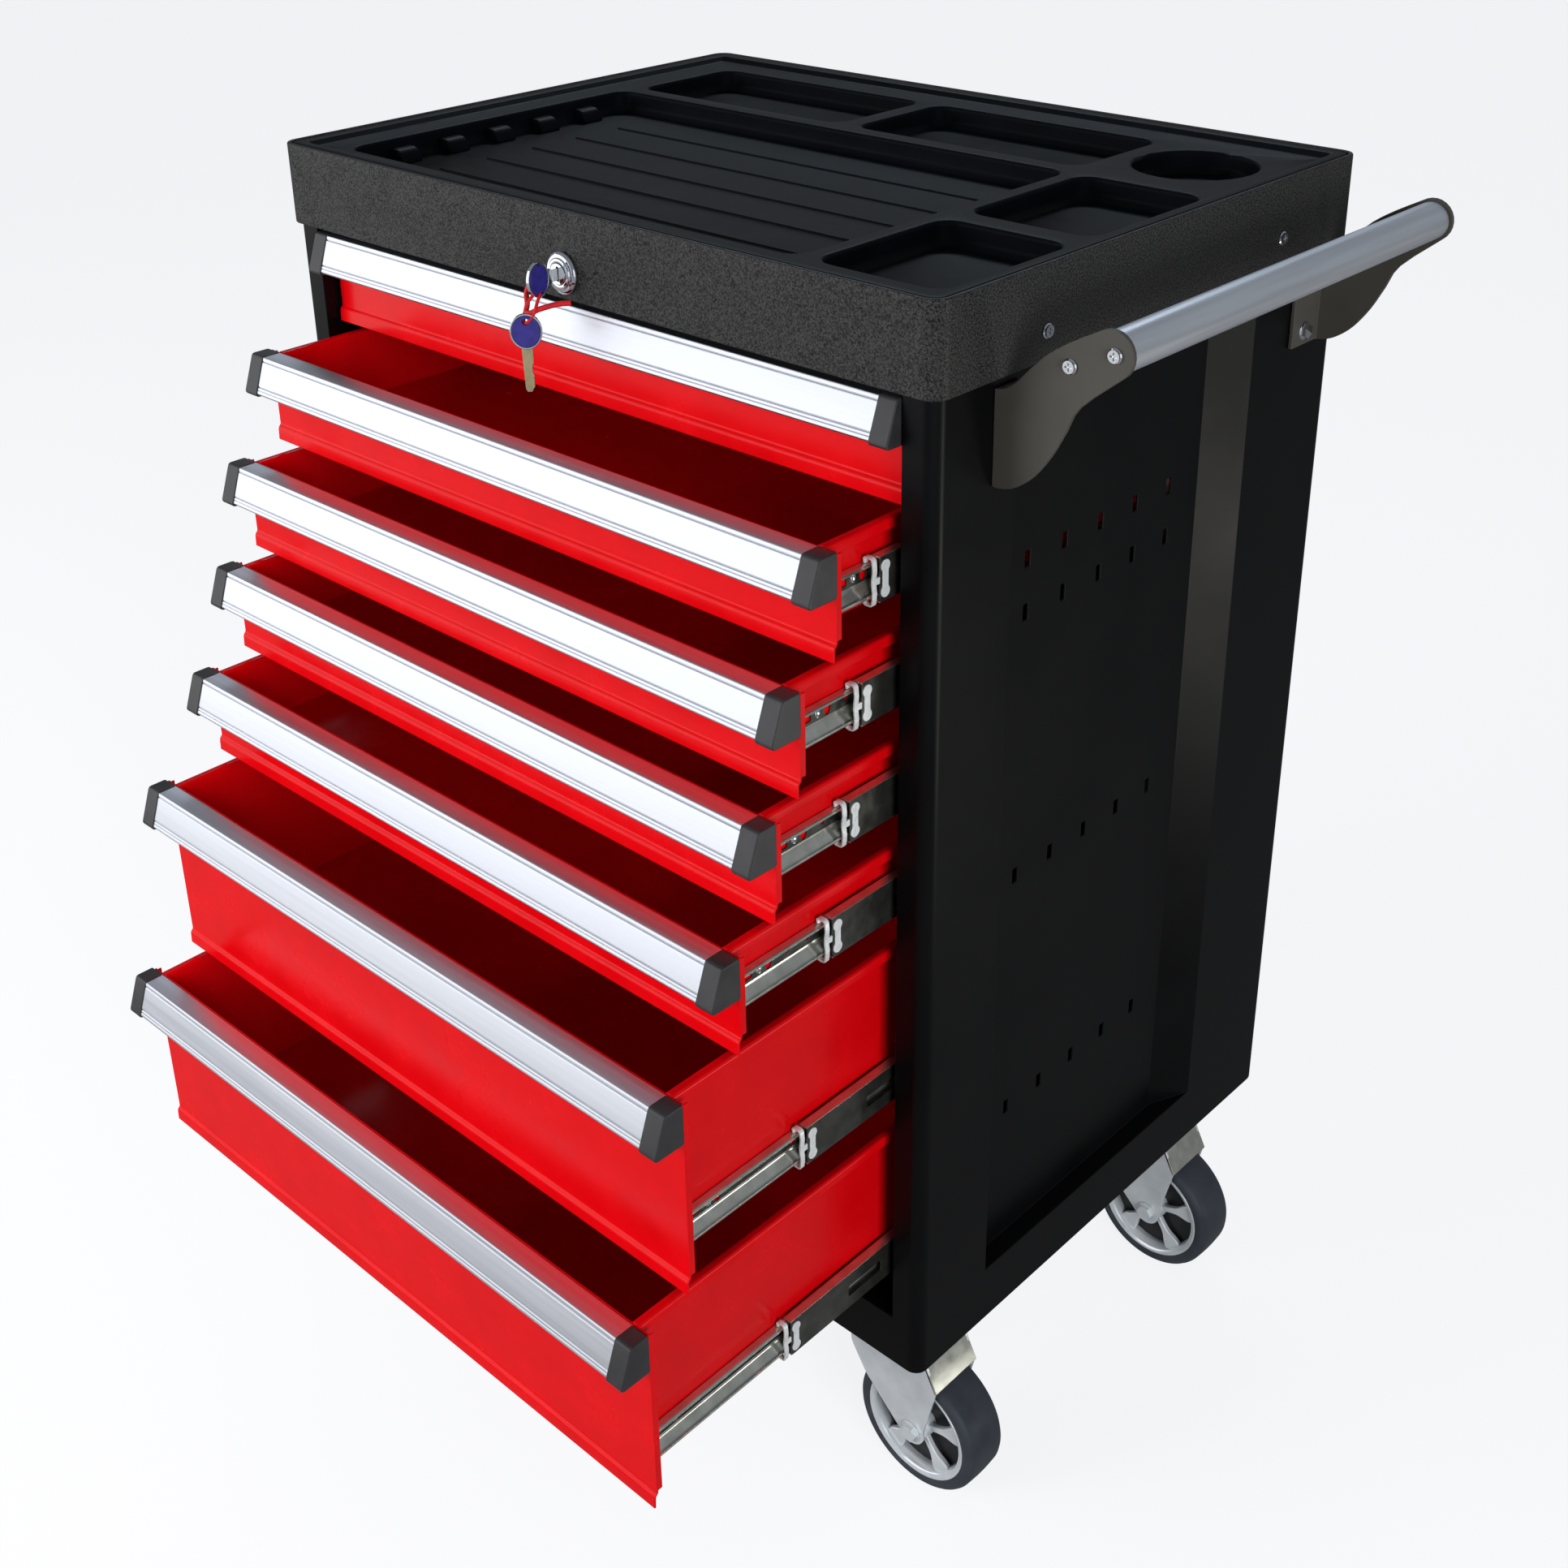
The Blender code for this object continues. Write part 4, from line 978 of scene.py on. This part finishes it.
# %% Ribs and rests
rib_section = eased([(-0.0016, -0.0008), (-0.0008, 0.0012), (0.0008, 0.0012), (0.0016, -0.0008)], 0.0006)
rib = helper("rib", [pulled(rib_section, "X", -0.191, 0.191)], 40)
rest_side = eased([(-0.012, -0.0008), (-0.012, 0.0100), (0.0010, 0.0096), (0.0075, -0.0008)], 0.0045)
rest = helper("rest", [pulled(rest_side, "Y", -0.0090, 0.0090)], 40)
for name, item, start, gap in (
    ("worktop_ribs", rib, (-0.027, 0.074, POCKET_FLOOR), 0.044),
    ("worktop_rests", rest, (-0.257, 0.075, POCKET_FLOOR), 0.045),
):
    values = {"Item": item, "Count": 5, "Start": CABINET + Vector(start), "Step": Vector((0, gap, 0))}
    row = grow(name, SET_ROW, {**values, "Finish": TOP_PLASTIC})
    soften(grown_piece(name, [row], TOP_PLASTIC, "cabinet"), 0.0014, 3, 50)
for item in (rib, rest):
    bpy.data.objects.remove(item)
print("ribs and rests set")

# %% [markdown]
# ## The lock and its keys
#
# A cam lock shows a stepped chrome ring, a plug with the keyway and the key's head. The head is blue
# plastic in a chrome rim. A red tie holds the spare key, which hangs in front of the top drawer.

# %% Lock
LOCK_Z = FRAME_BOTTOM + 0.018
LOCK_CENTRE = (0, 0, LOCK_Z)
BORE, PLUG = 0.0073, 0.0070
ring_profile = eased(
    [
        (BORE, -0.0046), (0.0098, -0.0046), (0.0104, -0.0036), (0.0122, -0.0034), (0.0140, -0.0020),
        (0.0140, -0.0003), (0.0097, -0.0003), (0.0097, 0.0260), (BORE, 0.0260),
    ],
    0.0004,
    steps=3,
)
ring = turned(ring_profile, "Y", LOCK_CENTRE)
piece("lock_ring", [ring], CHROME_PLATE, "cabinet", ["lock_body"], 0)
keyway = rounded((-0.0010, 0.0010), (LOCK_Z - 0.0048, LOCK_Z + 0.0048), 0.0006, 3)
plug_shapes = [
    pierced(oval((0, LOCK_Z), PLUG, PLUG, 48), [keyway], "Y", -0.0052, 0.0050),
    turned([(0, 0.0050), (PLUG, 0.0050), (PLUG, 0.0290), (0, 0.0290)], "Y", LOCK_CENTRE, 48),
    pulled(rounded((-0.0040, 0.0150), (LOCK_Z - 0.0040, LOCK_Z + 0.0040), 0.0018), "Y", 0.0285, 0.0305),
]
piece("lock_plug_and_cam", plug_shapes, CHROME_PLATE, "lock_cylinder", ["lock_plug"], 0.0003)


def key_head(centre, half_y, half_z, hole_z):
    """The chrome rim and the plastic face of a key's head, in the plane across x."""
    outer, inner = oval(centre, half_y, half_z, 40), oval(centre, half_y - 0.0013, half_z - 0.0013, 40)
    hole = [oval((centre[0], centre[1] + hole_z), 0.0020, 0.0020, 16)] if hole_z else []
    return [pierced(outer, [inner], "X", -0.0014, 0.0014)], [pierced(inner, hole, "X", -0.0017, 0.0017)]


rim, face = key_head((-0.0215, LOCK_Z), 0.0088, 0.0115, 0)
key_blade = block((-0.0006, 0.0006), (-0.0150, 0.0045), (LOCK_Z - 0.0040, LOCK_Z + 0.0040))
shoulder_outline = rounded((-0.0160, -0.0105), (LOCK_Z - 0.0052, LOCK_Z + 0.0052), 0.0012, 3)
key_metal = [*rim, key_blade, pulled(shoulder_outline, "X", -0.0011, 0.0011)]
piece("key_rim_and_blade", key_metal, CHROME_PLATE, "lock_cylinder", (), 0.0005, 3)
piece("key_head", face, KEY_BLUE, "lock_cylinder", ["lock_key"], 0.0006, 3)
print("lock and key made")

# %% [markdown]
# The spare key hangs from the neck of the key in the lock, on a tie that is a loop of thin cord. The neck
# is the one part of the key that stays in its place as the key turns, so the tie and the spare stay with
# the cabinet.

# %% Spare key and tie
SPARE_Y, SPARE_Z = -0.0340, 0.8910
rim, face = key_head((SPARE_Y, SPARE_Z), 0.0105, 0.0118, 0.0066)
blade_line = [
    (-0.0036, 0.0), (0.0036, 0.0), (0.0036, -0.0105), (0.0026, -0.0120), (0.0026, -0.0170), (0.0034, -0.0185),
    (0.0034, -0.0265), (0.0014, -0.0300), (-0.0016, -0.0300), (-0.0028, -0.0275),
]
blade = pulled([(SPARE_Y + y, SPARE_Z - 0.0105 + z) for y, z in blade_line], "X", -0.0008, 0.0008)
to_spare = Matrix.Translation((0, SPARE_Y, SPARE_Z))
turn_spare = to_spare @ Matrix.Rotation(radians(-44), 4, "Z") @ to_spare.inverted()


def twisted(add, matrix):
    def moved(work):
        before = set(work.verts)
        add(work)
        bmesh.ops.transform(work, matrix=matrix, verts=[point for point in work.verts if point not in before])

    return moved


rim, face, blade = (twisted(shape, turn_spare) for shape in (*rim, *face, blade))
piece("spare_key_rim", [rim], CHROME_PLATE, "cabinet", (), 0.0005, 3)
piece("spare_key_head", [face], KEY_BLUE, "cabinet", (), 0.0006, 3)
piece("spare_key_blade", [blade], KEY_BRASS, "cabinet", (), 0.0003)


def cord_mesh(name, points, radius, closed=True):
    """A round cord along a smooth line."""
    line = bpy.data.curves.new(name, "CURVE")
    line.dimensions = "3D"
    line.bevel_depth = radius
    line.bevel_resolution = 3
    line.resolution_u = 8
    line.use_fill_caps = True
    spline = line.splines.new("BEZIER")
    spline.bezier_points.add(len(points) - 1)
    for knot, place in zip(spline.bezier_points, points):
        knot.co = CABINET + Vector(place)
        knot.handle_left_type = knot.handle_right_type = "AUTO"
    spline.use_cyclic_u = closed
    return settled_mesh(name, in_scene(name, line))


TIE_LOOP = [
    (0.0000, -0.0215, LOCK_Z - 0.0086), (0.0036, -0.0262, LOCK_Z - 0.0130),
    (0.0032, -0.0318, SPARE_Z + 0.0086), (0.0000, -0.0342, SPARE_Z + 0.0056),
    (-0.0036, -0.0318, SPARE_Z + 0.0086), (-0.0040, -0.0262, LOCK_Z - 0.0130),
]
TIE_ENDS = [
    (-0.0112, -0.0196, LOCK_Z - 0.0068), (-0.0136, -0.0200, LOCK_Z - 0.0104),
    (-0.0090, -0.0240, LOCK_Z - 0.0160), (-0.0016, -0.0300, LOCK_Z - 0.0202),
    (0.0052, -0.0262, LOCK_Z - 0.0172), (0.0120, -0.0170, LOCK_Z - 0.0148), (0.0185, -0.0110, LOCK_Z - 0.0140),
]
tie_meshes = [cord_mesh("tie_loop", TIE_LOOP, 0.0011), cord_mesh("tie_ends", TIE_ENDS, 0.0018, closed=False)]
tie = grown_piece("key_tie", tie_meshes, TIE_RED, "cabinet")
tie.data.shade_smooth()
print("spare key hangs to z =", round(SPARE_Z - 0.0405, 4))

# %% [markdown]
# ## The push handle
#
# A drawn tube stands between the two brackets. Its ends get a small chamfer, as a cut tube does.

# %% Tube
TUBE_LOW, TUBE_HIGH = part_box("side_handle_tube")
TUBE_RADIUS = (TUBE_HIGH.x - TUBE_LOW.x) / 2
tube_start, tube_end = TUBE_LOW.y - CABINET.y, TUBE_HIGH.y - CABINET.y
tube_middle = ((TUBE_LOW.x + TUBE_HIGH.x) / 2 - CABINET.x, 0, (TUBE_LOW.z + TUBE_HIGH.z) / 2)
tube_profile = [
    (0, tube_start), (TUBE_RADIUS - 0.0008, tube_start), (TUBE_RADIUS, tube_start + 0.0008),
    (TUBE_RADIUS, tube_end - 0.0008), (TUBE_RADIUS - 0.0008, tube_end), (0, tube_end),
]
tube = turned(tube_profile, "Y", tube_middle, 96)
piece("side_handle_grip", [tube], TUBE_METAL, "cabinet", ["side_handle_tube"], 0)
print("tube", round((tube_end - tube_start) * 1000), "mm long")

# %% [markdown]
# ## The casters
#
# A caster is a fork that swivels under its plate and a wheel that turns in the fork. The fork is pressed
# from one sheet: two flanks, a crown and a hood that is bent down over the tread. The wheel is a wide
# rubber tyre on a bright rim whose five spokes flare towards the rim. The ring tree sets the spokes round
# the axle.

# %% Caster shapes
CASTER_Z, CASTER_TRAIL, TYRE_RADIUS, RIM_SEAT = 0.056, 0.030, 0.056, 0.0455
FLANK_IN, FLANK_OUT = 0.0218, 0.0241
PLACES = {
    "front_left": (-0.234, 0.0706), "front_right": (0.234, 0.0706), "rear_left": (-0.234, 0.3884),
    "rear_right": (0.234, 0.3884),
}
tread = [(RIM_SEAT + 0.0002, -0.0188), (0.0480, -0.0194), (0.0505, -0.0197)]
shoulder = [radians(t) for t in (-70, -52, -34, -16)]
tread += [(0.0488 + 0.0068 * cos(t), -0.0132 + 0.0066 * sin(t)) for t in shoulder]
tread += [(0.0558, -0.0080), (TYRE_RADIUS, -0.0030)]
TREAD = tread + [(r, -y) for r, y in reversed(tread)]
RIM_RING = eased(
    [
        (0.0392, -0.0120), (0.0408, -0.0176), (0.0440, -0.0192), (RIM_SEAT, -0.0192), (RIM_SEAT, 0.0192),
        (0.0440, 0.0192), (0.0408, 0.0176), (0.0392, 0.0120), (0.0402, 0.0060), (0.0402, -0.0060),
    ],
    0.0012,
)
HUB = eased(
    [
        (0.0045, -0.0206), (0.0086, -0.0206), (0.0104, -0.0188), (0.0118, -0.0120), (0.0118, 0.0120),
        (0.0104, 0.0188), (0.0086, 0.0206), (0.0045, 0.0206),
    ],
    0.0010,
)
WEB = eased([(0.0105, -0.0070), (0.0396, -0.0085), (0.0396, 0.0085), (0.0105, 0.0070)], 0.0010)
FLANK = eased(
    [
        (-0.0315, 0.1362), (-0.0300, 0.1080), (-0.0150, 0.0840),
        *arc((CASTER_TRAIL, CASTER_Z), 0.0120, 205, 380, 9), (0.0530, 0.1095), (0.0415, 0.1362),
    ],
    0.0040,
)
hood_line = [(-0.0310, 0.1240), (-0.0310, 0.1351), (0.0395, 0.1351), (0.0530, 0.1092)]
HOOD = folded(eased(hood_line, 0.0040, closed=False), 0.0026)


def spoke():
    """One spoke on each face of the wheel: thin at the hub, flared like a paddle at the rim."""
    line = [
        (-0.0030, 0.0095), (-0.0026, 0.0180), (-0.0034, 0.0260), (-0.0078, 0.0345), (-0.0082, 0.0410),
        (0.0082, 0.0410), (0.0078, 0.0345), (0.0034, 0.0260), (0.0026, 0.0180), (0.0030, 0.0095),
    ]
    section = eased(line, 0.0040)
    return [pulled(section, "Y", *pair) for pair in ((-0.0152, -0.0105), (0.0105, 0.0152))]


def hood_shapes(x, y):
    return [pulled([(x + a, b) for a, b in HOOD], "Y", y - FLANK_OUT, y + FLANK_OUT)]


def fork_shapes(x, y):
    flank = [(x + a, b) for a, b in FLANK]
    spans = ((y + FLANK_IN, y + FLANK_OUT), (y - FLANK_OUT, y - FLANK_IN))
    shapes = [pulled(flank, "Y", *span) for span in spans]
    race = eased(
        [
            (0, 0.1355), (0.0315, 0.1355), (0.0325, 0.1420), (0.0290, 0.1480), (0.0272, 0.1540),
            (0.0262, 0.1592), (0, 0.1592),
        ],
        0.0018,
    )[5:-5]
    race = [(0, race[0][1]), *race, (0, race[-1][1])]
    shapes.append(turned(race, "Z", (x, y, 0), 56))
    pivot = [(0, 0.1275), (0.0062, 0.1282), (0.0084, 0.1300), (0.0084, 0.1340), (0, 0.1340)]
    shapes.append(turned(pivot, "Z", (x, y, 0), 32))
    return shapes


def axle_shapes(x, y):
    wheel = (x + CASTER_TRAIL, y, CASTER_Z)
    washer = [(0, -0.0252), (0.0086, -0.0252), (0.0092, -0.0247), (0.0092, -0.0238), (0, -0.0238)]
    shapes = [turned(washer, "Y", wheel, 32), turned([(r, -h) for r, h in washer], "Y", wheel, 32)]
    for low, high in ((-0.0287, -0.0248), (0.0248, 0.0287)):
        shapes.append(pulled(oval((wheel[0], wheel[2]), 0.0072, 0.0072, 6), "Y", y + low, y + high))
    shaft = [(0, -0.0245), (0.0042, -0.0245), (0.0042, 0.0245), (0, 0.0245)]
    return shapes + [turned(shaft, "Y", wheel, 24)]


spoke_item = helper("spoke", spoke())
for name, (x, y) in PLACES.items():
    caster, wheel = f"caster_{name}", (x + CASTER_TRAIL, y, CASTER_Z)
    rolling, turning = f"{caster}_wheel", f"{caster}_swivel"
    tyre, stands_for = turned(TREAD, "Y", wheel, 96), [f"{caster}_tyre"]
    piece(f"{caster}_tread", [tyre], TYRE_RUBBER, rolling, stands_for, 0, sharp=50)
    rim_shapes = [turned(profile, "Y", wheel, 72) for profile in (RIM_RING, HUB)]
    piece(f"{caster}_rim_ring", rim_shapes, BRIGHT_STEEL, rolling, [f"{caster}_rim"], 0)
    piece(f"{caster}_web", [turned(WEB, "Y", wheel, 48)], DARK_WEB, rolling, (), 0)
    values = {"Item": spoke_item, "Count": 5, "Centre": CABINET + Vector(wheel), "Finish": BRIGHT_STEEL}
    ring = [grow("spokes", SET_RING, values)]
    soften(grown_piece(f"{caster}_spokes", ring, BRIGHT_STEEL, rolling), 0.0012, 3)
    piece(f"{caster}_yoke", fork_shapes(x, y), BRIGHT_STEEL, turning, [f"{caster}_fork"], 0.0006, 3)
    piece(f"{caster}_hood", hood_shapes(x, y), ZINC_PLATE, turning, (), 0.0006, 3)
    piece(f"{caster}_axle", axle_shapes(x, y), BRIGHT_STEEL, turning, (), 0.0005)
for item in (spoke_item, side_screw, small_rivet, flange_bolt):
    bpy.data.objects.remove(item)
print("four casters")

# %% [markdown]
# ## Studio
#
# The chest stands on a pale floor under soft light. Paint and bare metal want different light: a colour
# needs strong even light, and a bright metal needs a calm panel to mirror. So the two big lights that carry
# the colours aren't seen in reflections, and the panels that the metal mirrors are dim. The floor is pale
# to the eye but gives little back, so that the black body stays black.

# %% Floor and backdrop
floor_mesh = bpy.data.meshes.new("studio_floor")
floor_mesh.from_pydata([(-20, -20, 0), (20, -20, 0), (20, 20, 0), (-20, 20, 0)], [], [(0, 1, 2, 3)])
floor = in_scene("studio_floor", floor_mesh)
pale_floor = finish(
    "pale_floor", (0.20, 0.20, 0.20), (0.21, 0.21, 0.21), (0.7, 0.8), grain=(40, 1e-5), drift=(0.6, 1e-5)
)
floor_tree = pale_floor.node_tree
floor_eye = floor_tree.nodes.new("ShaderNodeLightPath")
seen_directly = maths(floor_tree, "MULTIPLY", floor_eye.outputs["Is Camera Ray"], 0.84)
seen_in_metal = maths(floor_tree, "MULTIPLY", floor_eye.outputs["Is Glossy Ray"], 0.07)
floor_glow = maths(floor_tree, "ADD", seen_directly, seen_in_metal)
floor_shader = floor_tree.nodes["Principled BSDF"]
floor_shader.inputs["Emission Color"].default_value = (0.97, 0.98, 1, 1)
floor_tree.links.new(floor_glow, floor_shader.inputs["Emission Strength"])
floor_mesh.materials.append(pale_floor)

world = bpy.data.worlds.new("studio")
world.use_nodes = True
sky = world.node_tree
backdrop = sky.nodes["Background"]
backdrop.inputs["Color"].default_value = (0.86, 0.92, 1.0, 1)
sky_eye = sky.nodes.new("ShaderNodeLightPath")
sky_strength = maths(sky, "ADD", maths(sky, "MULTIPLY", sky_eye.outputs["Is Camera Ray"], 0.74), 0.24)
sky.links.new(sky_strength, backdrop.inputs["Strength"])
bpy.context.scene.world = world


# %% Lights
def soft_light(name, place, aim, size, power, colour=(1, 1, 1), mirrored_too=True, lights_paint=True):
    lamp = bpy.data.lights.new(name, "AREA")
    lamp.shape = "RECTANGLE"
    lamp.size, lamp.size_y = size
    lamp.energy, lamp.color = power, colour
    made = in_scene(name, lamp)
    made.location = place
    made.rotation_euler = (Vector(aim) - Vector(place)).to_track_quat("-Z", "Y").to_euler()
    made.visible_camera = False
    made.visible_glossy = mirrored_too
    made.visible_diffuse = lights_paint
    return made


soft_light("front_colour", (-1.5, -3.1, 1.2), (0, 0, 0.5), (1.6, 1.6), 74, mirrored_too=False)
soft_light("right_colour", (3.2, -1.4, 1.2), (0, 0, 0.5), (1.6, 1.6), 84, mirrored_too=False)
soft_light("front_panel", (-1.7, -2.0, 1.05), (0, -0.1, 0.6), (3.6, 2.0), 29)
soft_light("near_panel", (2.3, -2.1, 0.8), (0.2, 0, 0.5), (2.4, 1.5), 9, lights_paint=False)
COOL, WARM = (0.78, 0.89, 1), (1, 0.97, 0.90)
soft_light("rear_panel", (-2.0, 2.6, 3.6), (0, 0, 0.9), (2.4, 0.5), 32, COOL, lights_paint=False)
strip_place, strip_aim = (2.3, 0.80, 0.02), (2.3, 0.80, 2.0)
strip = soft_light("right_strip", strip_place, strip_aim, (2.1, 0.36), 20, WARM, lights_paint=False)
strip.rotation_euler = (pi, 0, radians(14))

# %% [markdown]
# The camera stands at head height, near the front right-hand corner, and leans by less than a degree.

# %% Camera
camera_data = bpy.data.cameras.new("view")
camera_data.sensor_width = 36
camera_data.lens = 45.74
camera_data.shift_y = -0.12
camera = in_scene("view", camera_data)
EYE, LOOK = Vector((0.9565, -0.8089, 1.2788)), Vector((-0.62173, 0.65624, -0.42755))
LEAN = radians(0.961)
level = LOOK.cross(Vector((0, 0, 1))).normalized()
above = level.cross(LOOK)
across = level * cos(LEAN) - above * sin(LEAN)
upright = across.cross(LOOK)
turn = Matrix((across, upright, -LOOK.normalized())).transposed().to_4x4()
camera.matrix_world = Matrix.Translation(EYE + CABINET) @ turn
bpy.context.scene.camera = camera
bpy.context.scene.view_settings.view_transform = "Standard"
